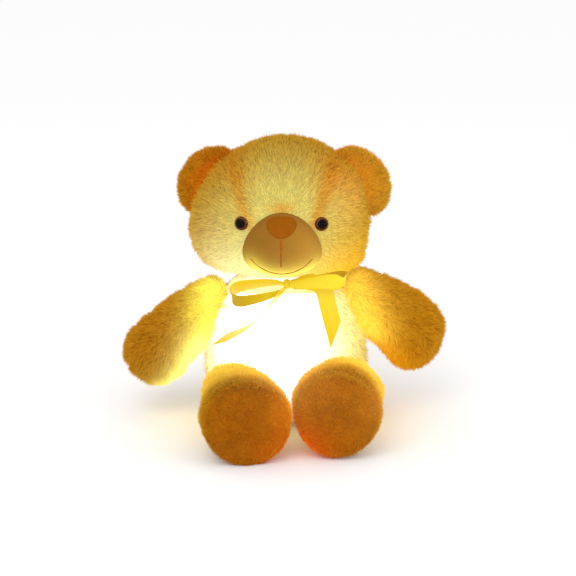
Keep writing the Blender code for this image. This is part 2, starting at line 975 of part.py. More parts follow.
def leg_rings(side):
    sign = -1 if side == "left" else 1
    pivot, axis, across, above = leg_frame(side)
    rings = []
    for along, radius in limb_ball(leg_ball_radius, leg_opening_angle, leg_neck_angle, 4):
        rings.append(limb_ring(pivot, axis, across, above, along, radius, radius, leg_segments))
    for along_share, width_share, height_share in leg_shares:
        rings.append(
            limb_ring(
                pivot,
                axis,
                across,
                above,
                leg_ball_radius * along_share,
                leg_ball_radius * width_share,
                leg_ball_radius * height_share,
                leg_segments,
                leg_top_bulge_share,
            )
        )
    swings = []
    for splay in leg_splay_range:
        for lift in (*leg_lift_range, sum(leg_lift_range) / 2):
            swings.append(
                turn_about(pivot, sign * splay, "Z") @ turn_about(pivot, -lift, "X")
            )
    return clear_of_torso(rings, pivot, leg_ball_radius, axis, swings, leg_press_room)


def make_leg(side, torso, floor):
    pivot, axis, across, above = leg_frame(side)
    splay = joint_empty(f"leg_{side}_splay", pivot, torso)
    lift = joint_empty(f"leg_{side}_lift", pivot, splay)
    seam_tape(f"hip_seam_{side}", pivot, axis, leg_ball_radius, leg_seam_angles, splay)
    rings = leg_rings(side)
    skin = add(f"leg_{side}_skin", loft(rings, False, False), plush(), lift)
    give_wall(skin, skin_wall)
    cut(skin, floor)
    core = drawn_in(loft(rings), skin_wall + filling_gap)
    add(f"leg_{side}_stuffing", core, filling(), lift)
    make_sole(side, pivot, axis, across, above, lift)


def make_sole(side, pivot, axis, across, above, carrier):
    """A domed panel of short cloth that closes the end of the leg."""
    along_share, width_share, height_share = leg_shares[-1]
    steps = 4
    layers = []
    for stand in (fit_gap, fit_gap + sole_thickness):
        rings = []
        for step in range(1, steps + 1):
            share = step / steps
            rise = sole_dome * (1 - share**2)
            rings.append(
                limb_ring(
                    pivot,
                    axis,
                    across,
                    above,
                    leg_ball_radius * along_share + stand + rise,
                    (leg_ball_radius * width_share - sole_inset) * share,
                    (leg_ball_radius * height_share - sole_inset) * share,
                    leg_segments,
                    leg_top_bulge_share,
                )
            )
        layers.append(rings)
    order = layers[0] + layers[1][::-1]
    add(f"sole_{side}", loft(order), short_pile(), carrier)


# Ribbon and bow


def strip(name, centres, across, half_widths, thickness, finish, carrier=None, steps=2):
    """A ribbon along a line of points. Each point has its own cross direction and half width."""
    bm = bmesh.new()
    rows = []
    for centre, direction, half in zip(centres, across, half_widths):
        row = []
        for step in range(steps + 1):
            share = 2 * step / steps - 1
            row.append(bm.verts.new(Vector(centre) + Vector(direction) * half * share))
        rows.append(row)
    for low, high in zip(rows, rows[1:]):
        for k in range(steps):
            bm.faces.new((low[k], low[k + 1], high[k + 1], high[k]))
    obj = add(name, bm, finish, carrier)
    wall = obj.modifiers.new("wall", "SOLIDIFY")
    wall.thickness = thickness
    wall.offset = 0
    return obj


def neck_ribbon_ring(height, segments):
    """The band hugs the neck, and rises and stands off at the front to meet the knot."""
    width, _, back = torso_section(height)
    knot_back = -knot_centre.y - knot_half_depth * (1 - knot_waist_share)
    front = knot_back - ribbon_thickness + fit_gap
    ring = []
    for index in range(segments):
        angle = 2 * math.pi * index / segments
        ahead = max(-math.sin(angle), 0)
        depth = front if math.sin(angle) < 0 else back + ribbon_stand
        ring.append(
            Vector(
                (
                    (width + ribbon_stand) * math.cos(angle),
                    depth * math.sin(angle),
                    height + ribbon_rise * ahead**2,
                )
            )
        )
    return ring


def make_neck_ribbon():
    rings = []
    steps = 2
    segments = 24
    for step in range(steps + 1):
        height = neck_ribbon_low + (neck_ribbon_high - neck_ribbon_low) * step / steps
        rings.append(neck_ribbon_ring(height, segments))
    bm = loft(rings, False, False, triangles=False)
    band = add("neck_ribbon", bm, satin())
    give_wall(band, ribbon_thickness, outward=True)


def make_knot():
    bm = ball(Vector(), 1, 12, 8)
    sizes = (knot_half_width, knot_half_depth, knot_half_height)
    for vert in bm.verts:
        waist = 1 - knot_waist_share * math.cos(math.pi * vert.co.z)
        vert.co = Vector((vert.co.x * waist, vert.co.y * waist, vert.co.z))
    bmesh.ops.transform(bm, matrix=Matrix.Diagonal((*sizes, 1)), verts=bm.verts[:])
    bmesh.ops.translate(bm, vec=knot_centre, verts=bm.verts[:])
    add("bow_knot", bm, satin())


def make_loop(side):
    """One loop of the bow: out in front, round the tip and back behind."""
    sign = -1 if side == "left" else 1
    shape = loops[side]
    count = 14
    start = knot_half_width * (1 - knot_waist_share)
    centres, across, widths = [], [], []
    for index in range(count + 1):
        angle = -loop_half_turn + 2 * loop_half_turn * index / count
        out = (1 + math.cos(angle)) / 2
        floor_out = (1 + math.cos(loop_half_turn)) / 2
        share = (out - floor_out) / (1 - floor_out)
        centre = knot_centre + Vector(
            (
                sign * (start + (shape["reach"] - start) * share),
                loop_depth * (math.sin(angle) * (loop_flat_share + (1 - loop_flat_share) * share) - 1 / 4),
                -shape["tip_drop"] * share,
            )
        )
        centres.append(centre)
        across.append(Vector((sign * loop_lean_share * share, 0, 1)).normalized())
        pinch = loop_pinch_share + (1 - loop_pinch_share) * math.sin(math.pi / 2 * share)
        widths.append(shape["tip_half_width"] * pinch)
    strip(f"bow_loop_{side}", centres, across, widths, ribbon_thickness, satin())


def smooth_line(points, pieces):
    """A Catmull-Rom line through points, with the same number of pieces in each span."""
    line = []
    for index in range(len(points) - 1):
        before = points[max(index - 1, 0)]
        start, end = points[index], points[index + 1]
        after = points[min(index + 2, len(points) - 1)]
        for step in range(pieces):
            t = step / pieces
            line.append(
                (
                    start * 2
                    + (end - before) * t
                    + (before * 2 - start * 5 + end * 4 - after) * t**2
                    + (start * 3 - before - end * 3 + after) * t**3
                )
                / 2
            )
    line.append(points[-1])
    return line


def make_tail(side, torso):
    """A hanging end of the ribbon, flat on the right and seen on its edge on the left."""
    line = smooth_line([knot_centre + spot for spot in tails_from_knot[side]], tail_pieces)
    carrier = joint_empty(f"bow_tail_{side}_swing", line[0], torso)
    across, widths = [], []
    for index, point in enumerate(line):
        share = index / (len(line) - 1)
        if side == "left":
            edge_on = Vector((tail_lean_share, -1, tail_lean_share))
            direction = edge_on * share + Vector((1, 0, tail_lean_share * 2)) * (1 - share)
        else:
            direction = Vector((1, 0, tail_lean_share))
        across.append(direction.normalized())
        spread = tail_pinch_share + (1 - tail_pinch_share) * math.sin(math.pi / 2 * min(share * 2, 1))
        widths.append(ribbon_width / 2 * spread)
    strip(f"bow_tail_{side}", line, across, widths, ribbon_thickness, satin(), carrier, steps=2)


# Zip


def zip_face():
    """Where the outer side of the torso's back stands at the zip."""
    return torso_section((zip_low + zip_high) / 2)[2]


def make_zip(torso):
    face = zip_face()
    tape_out = face - zip_tape_depth
    tape_in = tape_out - zip_tape_thickness
    ends = (zip_low - case_wall, zip_high + case_wall)
    tape_finish = material("zip_tape", (0.50, 0.30, 0.08), 0.9)
    for side, sign in (("left", -1), ("right", 1)):
        x = sorted((sign * fit_gap, sign * zip_tape_width))
        tape = box((x[0], tape_in, ends[0]), (x[1], tape_out, ends[1]))
        add(f"zip_tape_{side}", tape, tape_finish, smooth=False)
    chain_in = tape_out + fit_gap
    make_chain(chain_in)
    make_slider(chain_in, torso)


def zip_room():
    """The room in the filling behind the zip's tapes."""
    tape_in = zip_face() - zip_tape_depth - zip_tape_thickness - filling_gap
    reach = zip_tape_width + filling_gap
    spare = case_wall + filling_gap
    low = (-reach, tape_in, zip_low - spare)
    high = (reach, torso_back + cut_overrun, zip_high + spare)
    return cutter("zip_room", box(low, high))


def make_chain(inner):
    """The closed teeth: a flat strip whose two edges step in and out."""
    low = zip_low + fit_gap
    pitch = (zip_high - zip_low - fit_gap * 2) / tooth_count
    right = []
    for index in range(tooth_count):
        base = low + pitch * index
        right.append((tooth_half_width, base))
        right.append((tooth_half_width, base + pitch / 2))
        right.append((tooth_half_width - tooth_depth, base + pitch / 2))
        right.append((tooth_half_width - tooth_depth, base + pitch))
    left = [(-x, z) for x, z in reversed(right)]
    bm = bmesh.new()
    face = bm.faces.new([bm.verts.new((x, inner, z)) for x, z in right + left])
    grown = bmesh.ops.extrude_face_region(bm, geom=[face])["geom"]
    moved = [item for item in grown if isinstance(item, bmesh.types.BMVert)]
    bmesh.ops.translate(bm, verts=moved, vec=(0, chain_thickness, 0))
    add("zip_chain", bm, material("zip_teeth", (0.62, 0.42, 0.10), 0.5), smooth=False)


def make_slider(chain_in, torso):
    chain_out = chain_in + chain_thickness
    plate_in = chain_out + fit_gap
    plate_out = plate_in + slider_plate
    top = zip_high - fit_gap
    low = top - slider_height
    middle = (top + low) / 2
    slide = joint_empty("zip_slide", Vector((0, plate_in, middle)), torso)
    lip_in = chain_in + fit_gap
    body = box((-slider_half_width, lip_in, low), (slider_half_width, plate_out, top))
    slider = add("zip_slider", body, steel(), slide, smooth=False)
    inner = slider_half_width - slider_lip
    tunnel = box((-inner, lip_in - cut_overrun, low - cut_overrun), (inner, plate_in, top + cut_overrun))
    cut(slider, cutter("slider_tunnel", tunnel, slide))
    bridge_high = top - slider_lip
    bridge_low = bridge_high - bridge_height
    root = plate_out - slider_plate / 2
    under = plate_out + bridge_room
    over = under + bridge_strip
    outline = (
        (root, bridge_low),
        (over, bridge_low),
        (over, bridge_high),
        (root, bridge_high),
        (root, bridge_high - bridge_leg),
        (under, bridge_high - bridge_leg),
        (under, bridge_low + bridge_leg),
        (root, bridge_low + bridge_leg),
    )
    bm = bmesh.new()
    face = bm.faces.new([bm.verts.new((-bridge_half_width, y, z)) for y, z in outline])
    grown = bmesh.ops.extrude_face_region(bm, geom=[face])["geom"]
    moved = [item for item in grown if isinstance(item, bmesh.types.BMVert)]
    bmesh.ops.translate(bm, verts=moved, vec=(bridge_half_width * 2, 0, 0))
    bridge = slider.modifiers.new("bridge", "BOOLEAN")
    bridge.operation = "UNION"
    bridge.solver = "EXACT"
    bridge.object = cutter("slider_bridge", bm, slide)
    make_pull(Vector((0, plate_out + bridge_room / 2, (bridge_low + bridge_high) / 2)), slide)


def make_pull(hinge, slide):
    """A flat tab whose top bar lies under the slider's bridge and turns there."""
    flip = joint_empty("pull_flip", hinge, slide)
    half = pull_thickness / 2
    plate = box(
        (-pull_half_width, hinge.y - half, hinge.z + half - pull_length),
        (pull_half_width, hinge.y + half, hinge.z + half),
    )
    tab = add("zip_pull", plate, steel(), flip, smooth=False)
    eye = box(
        (-pull_eye_half_width, hinge.y - cut_overrun, hinge.z - pull_eye_end),
        (pull_eye_half_width, hinge.y + cut_overrun, hinge.z - half),
    )
    cut(tab, cutter("pull_eye", eye, flip))


# Battery case


def case_sizes():
    width = cell_count * 2 * cell_radius + (cell_count + 1) * cell_gap + 2 * case_wall
    depth = 2 * cell_radius + 2 * cell_gap + case_wall
    cavity = cell_length + 2 * contact_room
    return width, depth, cavity


def make_battery_case(torso):
    width, depth, cavity = case_sizes()
    half = width / 2
    back = case_front + depth
    cavity_low = case_low + case_wall
    cavity_high = cavity_low + cavity
    top = cavity_high + case_head
    case = add(
        "battery_case",
        box((-half, case_front, case_low), (half, back, top)),
        white_plastic(),
        smooth=False,
    )
    tray = box(
        (-half + case_wall, case_front + case_wall, cavity_low),
        (half - case_wall, back + cut_overrun, cavity_high),
    )
    screw_height = top - case_head / 2
    drop = screw_length * math.sin(door_open_range) + screw_radius
    slot = box(
        (-screw_radius - fit_gap, back - screw_length - fit_gap, screw_height - drop - case_wall),
        (screw_radius + fit_gap, back + cut_overrun, screw_height + screw_radius + fit_gap),
    )
    well_start = Vector((button_offset, (case_front + back) / 2, top - button_depth - button_travel))
    well = cylinder(
        well_start - Vector((0, 0, fit_gap)),
        well_start + Vector((0, 0, case_head)),
        button_radius + fit_gap * 2,
        14,
    )
    cut(case, cutter("case_tray", tray), cutter("screw_slot", slot), cutter("button_well", well))

    press = joint_empty("button_press", Vector((button_offset, well_start.y, top)), torso)
    button = cylinder(
        (button_offset, well_start.y, top - button_depth),
        (button_offset, well_start.y, top + button_stand),
        button_radius,
        14,
        button_radius - fit_gap,
    )
    add("push_button", button, material("orange_plastic", (0.75, 0.25, 0.03), 0.45), press)

    hinge = Vector((0, back + fit_gap + door_thickness / 2, case_low + door_thickness / 2))
    swing = joint_empty("battery_door_open", hinge, torso)
    door = add(
        "battery_door",
        box((-half, back + fit_gap, case_low), (half, back + fit_gap + door_thickness, top)),
        white_plastic(),
        swing,
        smooth=False,
    )
    hole = cylinder(
        (0, back - cut_overrun, screw_height),
        (0, back + cut_overrun, screw_height),
        screw_radius + fit_gap,
        16,
    )
    cut(door, cutter("screw_hole", hole, swing))
    outer = back + fit_gap + door_thickness + fit_gap
    turn = joint_empty("door_screw_turn", Vector((0, outer, screw_height)), swing)
    profile = (
        (screw_radius * press_share, -(screw_length + fit_gap)),
        (screw_radius, -(screw_length + fit_gap)),
        (screw_radius, 0),
        (screw_head_radius, 0),
        (screw_head_radius, screw_head),
        (screw_radius * press_share, screw_head),
    )
    add("door_screw", spin_profile(profile, (0, outer, screw_height), (0, 1, 0), 10), steel(), turn)

    make_cells(cavity_low, cavity_high)
    make_lining(half, top)
    return half, top, back


def make_cells(low, high):
    pitch = 2 * cell_radius + cell_gap
    y = case_front + case_wall + cell_gap + cell_radius
    start = low + contact_room
    finish = material("cell_wrap", (0.10, 0.28, 0.12), 0.35, 0.3)
    for index in range(cell_count):
        x = (index - (cell_count - 1) / 2) * pitch
        nub = cell_radius * cell_nub_share
        neck = cell_length * cell_neck_share
        profile = (
            (cell_radius * press_share, 0),
            (cell_radius, 0),
            (cell_radius, neck),
            (nub, neck),
            (nub, cell_length),
            (nub * press_share, cell_length),
        )
        flip = index % 2 == 1
        foot = Vector((x, y, start + cell_length if flip else start))
        cell = spin_profile(profile, foot, (0, 0, -1 if flip else 1), 12)
        add(f"battery_cell_{index + 1}", cell, finish)
    half = (cell_count * pitch - cell_gap) / 2
    for name, end, sign in (("contact_plate_low", low, 1), ("contact_plate_high", high, -1)):
        near = end + sign * fit_gap
        z = sorted((near, near + sign * contact_thickness))
        plate = box((-half, y - cell_radius, z[0]), (half, y + cell_radius, z[1]))
        obj = add(name, plate, steel(), smooth=False)
        pad_high = end + sign * (contact_room - fit_gap)
        for index in range(cell_count):
            x = (index - (cell_count - 1) / 2) * pitch
            tip = cylinder(
                (x, y, near + sign * contact_thickness / 2),
                (x, y, pad_high),
                cell_radius * spring_foot_share,
                12,
                cell_radius * spring_tip_share,
            )
            bump = cutter(f"{name}_spring_{index + 1}", tip)
            union = obj.modifiers.new("spring", "BOOLEAN")
            union.operation = "UNION"
            union.object = bump


def pocket_box(grow):
    width, depth, cavity = case_sizes()
    top = case_low + case_wall + cavity + case_head
    room = lining_gap + grow
    low = Vector((-width / 2 - room, case_front - room, case_low - room))
    high = Vector((width / 2 + room, 0, top + button_stand + room))
    return low, high


def lining_mouth():
    """The mouth lies just inside the skin at the lining's two sides."""
    width, _, _ = case_sizes()
    edge = width / 2 + lining_gap + lining_thickness
    half, _, back = torso_section((zip_low + zip_high) / 2)
    return back * math.sqrt(1 - (edge / half) ** 2) - skin_wall - 2 * filling_gap


def make_lining(half, top):
    mouth = lining_mouth()
    low, high = pocket_box(lining_thickness)
    bag = box(low, (high.x, mouth, high.z))
    lining = add("pocket_lining", bag, material("lining_cloth", (0.80, 0.74, 0.60), 0.9), smooth=False)
    low, high = pocket_box(0)
    inside = box(low, (high.x, mouth + cut_overrun, high.z))
    cut(lining, cutter("pocket_inside", inside))


# Lamp


def make_lamp():
    back = lamp_centre.y
    front = back - lamp_base_thickness
    x, z = lamp_centre.x, lamp_centre.z
    base = spin_profile(
        (
            (lamp_radius * press_share, 0),
            (lamp_radius, 0),
            (lamp_radius, lamp_base_thickness * lamp_step_share),
            (lamp_radius - diffuser_wall * 2, lamp_base_thickness * lamp_step_share),
            (lamp_radius - diffuser_wall * 2, lamp_base_thickness),
            (lamp_radius * press_share, lamp_base_thickness),
        ),
        lamp_centre,
        (0, -1, 0),
        20,
    )
    add("lamp_base", base, white_plastic())
    board_back = front - fit_gap
    board_front = board_back - board_thickness
    board = cylinder((x, board_back, z), (x, board_front, z), board_radius, 20)
    add("lamp_board", board, material("green_board", (0.03, 0.20, 0.08), 0.4))
    glow = material("led_lens", (0.95, 0.85, 0.50), 0.2)
    for index in range(3):
        angle = math.pi / 2 + 2 * math.pi * index / 3
        foot = (
            x + led_ring * math.cos(angle),
            board_front - fit_gap,
            z + led_ring * math.sin(angle),
        )
        profile = [(led_radius * press_share, 0)]
        profile += [(led_radius * r, led_height * h) for r, h in led_profile_shares]
        add(f"led_{index + 1}", spin_profile(profile, foot, (0, -1, 0), 10), glow)
    make_diffuser()


def make_diffuser():
    """A frosted cup that sits over the step of the lamp base."""
    rim = lamp_base_thickness * lamp_step_share + fit_gap
    steps = 4
    outer, inner = [], []
    for step in range(steps + 1):
        angle = math.pi / 2 * step / steps
        cosine, sine = max(math.cos(angle), press_share / 2), math.sin(angle)
        outer.append((lamp_radius * cosine, lamp_base_thickness + lamp_radius * sine))
        room = lamp_radius - diffuser_wall
        inner.append((room * cosine, lamp_base_thickness + room * sine))
    profile = [(lamp_radius, rim)] + outer + inner[::-1] + [(lamp_radius - diffuser_wall, rim)]
    bm = spin_profile(profile, lamp_centre, (0, -1, 0), 20)
    caps = [face for face in bm.faces if len(face.verts) > 4]
    bmesh.ops.delete(bm, geom=caps, context="FACES")
    bmesh.ops.bridge_loops(bm, edges=[edge for edge in bm.edges if edge.is_boundary])
    add("lamp_diffuser", bm, material("frosted_plastic", (0.95, 0.93, 0.85), 0.6))


def make_lead():
    start = lamp_centre.y + fit_gap
    end = case_front - fit_gap
    points = []
    steps = 10
    for step in range(steps + 1):
        share = step / steps
        sway = lead_bow * math.sin(2 * math.pi * share)
        points.append(
            Vector((lamp_centre.x, start + (end - start) * share, lamp_centre.z + sway))
        )
    tube("inner_lead", points, lead_radius, material("lead_jacket", (0.04, 0.04, 0.04), 0.6), None, 2)


def inner_cutters():
    """The rooms in the torso's filling: lamp, lead and battery pocket."""
    room = lamp_radius + filling_gap
    rows = [(room * press_share, -filling_gap), (room, -filling_gap), (room, lamp_base_thickness)]
    steps = 4
    for step in range(1, steps + 1):
        angle = math.pi / 2 * step / steps
        reach = room * max(math.cos(angle), press_share)
        rows.append((reach, lamp_base_thickness + room * math.sin(angle) + fit_gap))
    lamp_room = cutter("lamp_room", spin_profile(rows, lamp_centre, (0, -1, 0), 20))
    start = Vector((lamp_centre.x, lamp_centre.y - fit_gap, lamp_centre.z))
    end = Vector((lamp_centre.x, case_front - fit_gap, lamp_centre.z))
    channel = cutter("lead_channel", cylinder(start, end, channel_radius, 12))
    low, high = pocket_box(lining_thickness + filling_gap)
    pocket = cutter("pocket_room", box(low, (high.x, torso_back + cut_overrun, high.z)))
    return lamp_room, channel, pocket


def build():
    new_collections()
    torso = joint_empty("torso", Vector())
    neck = Vector((0, 0, neck_height))
    sockets = [socket_cutter("neck_socket", neck, neck_ball_radius)]
    for side in ("left", "right"):
        sockets.append(socket_cutter(f"shoulder_socket_{side}", arms[side]["shoulder"], arm_ball_radius))
        sockets.append(socket_cutter(f"hip_socket_{side}", legs[side]["hip"], leg_ball_radius))
    slit = cutter(
        "zip_slit",
        box(
            (-slit_half_width, zip_face() - skin_wall - cut_overrun, zip_low),
            (slit_half_width, zip_face() + cut_overrun, zip_high),
        ),
    )
    stuffing = make_torso(sockets, slit)
    lamp_room, channel, pocket = inner_cutters()
    cut(stuffing, lamp_room, channel, pocket, zip_room())

    turn = joint_empty("head_turn", neck, None, head_yaw)
    nod = joint_empty("head_nod", neck, turn)
    seam_tape("neck_seam", neck, (0, 0, -1), neck_ball_radius, neck_seam_angles, turn)
    skin, head_filling, head_form = make_head(nod)
    make_muzzle(head_form, nod)
    make_nose(nod)
    make_mouth(nod)
    for side, sign in (("left", -1), ("right", 1)):
        make_eye(side, sign, skin, head_filling, nod)
        make_ear(side, sign, nod)

    floor = cutter(
        "floor",
        box(
            (-torso_height * 2, -torso_height * 2, -torso_height),
            (torso_height * 2, torso_height * 2, 0),
        ),
    )
    for side in ("left", "right"):
        make_arm(side, torso)
        make_leg(side, torso, floor)

    make_neck_ribbon()
    make_knot()
    for side in ("left", "right"):
        make_loop(side)
        make_tail(side, torso)
    make_zip(torso)
    make_battery_case(torso)
    cut(bpy.data.objects["pocket_lining"], channel)
    make_lamp()
    make_lead()


build()
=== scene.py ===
# %% [markdown]
# # A plush bear that glows
#
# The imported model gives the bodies, their joints and the box. This lesson dresses it in
# four layers: soft covers, fur that grows on them, a satin bow, and a warm light that
# seems to come from a lamp deep in the belly. Each layer is a few short cells.

import math

import bmesh
import bpy
import numpy as np
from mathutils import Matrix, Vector


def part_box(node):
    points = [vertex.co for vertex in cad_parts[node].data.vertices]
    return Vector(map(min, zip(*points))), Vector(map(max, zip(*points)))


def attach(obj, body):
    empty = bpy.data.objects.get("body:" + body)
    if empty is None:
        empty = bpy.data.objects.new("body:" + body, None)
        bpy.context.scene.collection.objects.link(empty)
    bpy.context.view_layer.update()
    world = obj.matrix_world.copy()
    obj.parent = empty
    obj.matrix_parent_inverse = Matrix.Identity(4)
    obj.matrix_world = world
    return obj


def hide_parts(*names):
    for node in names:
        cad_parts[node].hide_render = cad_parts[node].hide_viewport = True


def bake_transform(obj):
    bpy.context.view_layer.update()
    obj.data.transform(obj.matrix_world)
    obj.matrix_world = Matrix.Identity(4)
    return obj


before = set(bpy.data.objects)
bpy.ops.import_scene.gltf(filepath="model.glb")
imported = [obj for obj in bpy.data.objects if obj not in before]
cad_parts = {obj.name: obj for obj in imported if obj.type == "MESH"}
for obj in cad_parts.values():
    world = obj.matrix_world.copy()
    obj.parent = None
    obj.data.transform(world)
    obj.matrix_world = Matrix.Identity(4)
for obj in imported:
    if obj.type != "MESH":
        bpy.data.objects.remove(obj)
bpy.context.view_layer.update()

# %% [markdown]
# ## Sizes
#
# A plush toy is sewn from flat panels and then stuffed until they are round. It could be
# sculpted, but a table of widths is easier to change: each row says how wide and how deep
# the stuffed form is at one height, or at one place along a limb. All sizes are in metres.
# The bear faces -Y, left and right are the viewer's, and the head is turned 7 degrees to
# the left. Everything on the head is made facing straight ahead and turned afterwards.

# %% Sizes of the head and the body
SIDES = {"left": -1, "right": 1}
YAW = math.radians(-7)
MUZZLE = Vector((0.0012, -0.098, 0.2395))
MUZZLE_SIZE = Vector((0.0464, 0.0385, 0.0363))
EYE_X, EYE_Z, EYE_RADIUS = 0.0458, 0.2610, 0.0082

# Height, half width, depth in front and depth behind.
TORSO_ROWS = (
    (0.0000, 0.048, 0.036, 0.040),
    (0.0020, 0.062, 0.052, 0.052),
    (0.0093, 0.076, 0.062, 0.062),
    (0.0205, 0.087, 0.071, 0.069),
    (0.0316, 0.092, 0.076, 0.072),
    (0.0560, 0.094, 0.078, 0.072),
    (0.0860, 0.094, 0.078, 0.072),
    (0.1230, 0.088, 0.075, 0.072),
    (0.1490, 0.077, 0.069, 0.067),
    (0.1690, 0.063, 0.060, 0.058),
    (0.1780, 0.048, 0.046, 0.046),
    (0.1800, 0.020, 0.020, 0.020),
)
HEAD_ROWS = (
    (0.1830, 0.030, 0.026, 0.030),
    (0.1850, 0.064, 0.048, 0.062),
    (0.1890, 0.085, 0.058, 0.078),
    (0.1950, 0.093, 0.064, 0.084),
    (0.2050, 0.100, 0.074, 0.090),
    (0.2170, 0.105, 0.087, 0.094),
    (0.2380, 0.108, 0.098, 0.097),
    (0.2636, 0.105, 0.096, 0.094),
    (0.2869, 0.0965, 0.0885, 0.0865),
    (0.3082, 0.083, 0.076, 0.074),
    (0.3266, 0.060, 0.057, 0.055),
    (0.3396, 0.035, 0.032, 0.031),
    (0.3446, 0.010, 0.009, 0.009),
)
print("rings: torso", len(TORSO_ROWS), "head", len(HEAD_ROWS))

# %% Sizes of the limbs
# Place along the arm, and radius.
ARM_ROWS = (
    (-0.016, 0.018),
    (-0.006, 0.026),
    (0.010, 0.0295),
    (0.030, 0.0312),
    (0.052, 0.0330),
    (0.075, 0.0345),
    (0.096, 0.0372),
    (0.110, 0.0360),
    (0.122, 0.0300),
    (0.131, 0.0190),
    (0.1355, 0.0060),
)
# Shoulder, how far the arm hangs, how much longer and thicker it is than its table, how
# far its middle is bowed up, and how far its paw sags.
ARMS = {
    "left": ((-0.083, 0, 0.1475), math.radians(41), 1.0, 1.0, 0.0026, 0.0),
    "right": ((0.084, 0, 0.1520), math.radians(35.6), 0.96, 1.09, 0.0050, 0.0032),
}
# Place along the leg, half width and half height.
LEG_ROWS = (
    (-0.020, 0.0260, 0.0260),
    (-0.008, 0.0350, 0.0340),
    (0.012, 0.0380, 0.0370),
    (0.035, 0.0395, 0.0385),
    (0.054, 0.0415, 0.0405),
    (0.070, 0.0440, 0.0430),
    (0.092, 0.0472, 0.0485),
    (0.112, 0.0484, 0.0535),
    (0.121, 0.0474, 0.0530),
    (0.1245, 0.0450, 0.0503),
)
THIGH_BULGE = {"left": 0.002, "right": 0.013}
LEG_HEIGHT = {"left": 0.89, "right": 0.95}
# Hip, and middle of the foot.
LEGS = {
    "left": ((-0.062, -0.053, 0.0460), (-0.0565, -0.1790, 0.0480)),
    "right": ((0.062, -0.046, 0.0475), (0.0463, -0.1680, 0.0550)),
}
print("rings: arm", len(ARM_ROWS), "leg", len(LEG_ROWS))


# %% The muzzle's width
def muzzle_width(z):
    """The muzzle's half width as a share: wide at the mouth and narrow at the brow."""
    t = (z - MUZZLE.z) / MUZZLE_SIZE.z
    return 0.96 - 0.24 * t + 0.06 * t * t


# %% [markdown]
# ## Reading a table smoothly
#
# A form is a stack of rings. Each table lists a few of them, and something has to fill in
# between. Straight lines would show as creases, and a common spline would swing past the
# numbers. A monotone cubic does neither, so the cloth swells without ripples.

# %% A smooth table reader
def along_table(rows, at):
    """Every column of a table at the given places."""
    rows = np.array(rows, float)
    x = rows[:, 0]
    at = np.clip(np.asarray(at, float), x[0], x[-1])
    step = np.diff(x)
    index = np.clip(np.searchsorted(x, at) - 1, 0, len(step) - 1)
    t = (at - x[index]) / step[index]
    out = []
    for column in range(1, rows.shape[1]):
        y = rows[:, column]
        slope = np.diff(y) / step
        tangent = np.zeros(len(x))
        product = slope[:-1] * slope[1:]
        total = slope[:-1] + slope[1:]
        tangent[1:-1] = np.where(product > 0, 2 * product / np.where(total == 0, 1, total), 0)
        tangent[0], tangent[-1] = slope[0], slope[-1]
        out.append(
            (2 * t**3 - 3 * t**2 + 1) * y[index]
            + (t**3 - 2 * t**2 + t) * step[index] * tangent[index]
            + (3 * t**2 - 2 * t**3) * y[index + 1]
            + (t**3 - t**2) * step[index] * tangent[index + 1]
        )
    return out


# %% A mesh through rings
def add_object(name, data):
    """Puts a mesh, a curve, a lamp or a camera into the scene."""
    obj = bpy.data.objects.new(name, data)
    bpy.context.scene.collection.objects.link(obj)
    return obj


def ring_mesh(name, rings):
    """A closed mesh through rings of points, as an array of rings by points by three."""
    count, around, _ = rings.shape
    index = np.arange(around)
    after = (index + 1) % around
    faces = []
    for k in range(count - 1):
        a, b = k * around, (k + 1) * around
        faces += np.stack([a + index, a + after, b + after, b + index], 1).tolist()
    faces.append(list(range(around))[::-1])
    faces.append(list(range((count - 1) * around, count * around)))
    mesh = bpy.data.meshes.new(name)
    mesh.from_pydata(rings.reshape(-1, 3).tolist(), [], faces)
    bm = bmesh.new()
    bm.from_mesh(mesh)
    bmesh.ops.recalc_face_normals(bm, faces=bm.faces[:])
    bm.to_mesh(mesh)
    bm.free()
    mesh.shade_smooth()
    return add_object(name, mesh)


# %% Angles and places of the rings
def circle(count):
    """Even angles all the way round."""
    return np.linspace(0, 2 * np.pi, count, endpoint=False)


def ball_angles(rings, around):
    """Angles up and round for the points of a ball."""
    return np.meshgrid(np.linspace(-np.pi / 2, np.pi / 2, rings), circle(around), indexing="ij")


def rings_along(rows, count):
    """Where the rings of a table lie, closer together at both ends, and their sizes."""
    share = (1 - np.cos(np.linspace(0, np.pi, count))) / 2
    at = rows[0][0] + (rows[-1][0] - rows[0][0]) * share
    return at, along_table(rows, at)


# %% Upright forms
def upright_form(name, rows, rings, around):
    """A form whose rings lie flat, each with a half width, a front and a back depth."""
    z, (width, front, back) = rings_along(rows, rings)
    angle = circle(around)
    depth = np.where(np.sin(angle)[None] < 0, front[:, None], back[:, None])
    x, y = width[:, None] * np.cos(angle), depth * np.sin(angle)
    return ring_mesh(name, np.stack([x, y, np.repeat(z[:, None], around, 1)], 2))


# %% Limbs
def limb_form(name, pivot, axis, up, rows, bulge=0.0, rings=44, around=56):
    """A form along an axis. Rows hold a place along it and one or two half sizes."""
    pivot, axis, up = (np.array(v, float) for v in (pivot, axis, up))
    side = np.cross(up, axis)
    at, sizes = rings_along(rows, rings)
    half_width, half_height = sizes[0], sizes[-1]
    angle = circle(around)
    widen = 1 + bulge * np.sin(angle)
    points = (
        pivot
        + at[:, None, None] * axis
        + (half_width[:, None] * np.cos(angle) * widen)[..., None] * side
        + (half_height[:, None] * np.sin(angle))[..., None] * up
    )
    return ring_mesh(name, points)


# %% Points and normals as arrays
def read(items, key):
    """One vector of every point, as an array of rows."""
    flat = np.empty(len(items) * 3, np.float32)
    items.foreach_get(key, flat)
    return flat.reshape(-1, 3).astype(float)


def points_of(obj):
    return read(obj.data.vertices, "co")


def normals_of(obj):
    return read(obj.data.vertex_normals, "vector")


def set_points(obj, points):
    obj.data.vertices.foreach_set("co", points.astype(np.float32).ravel())
    obj.data.update()


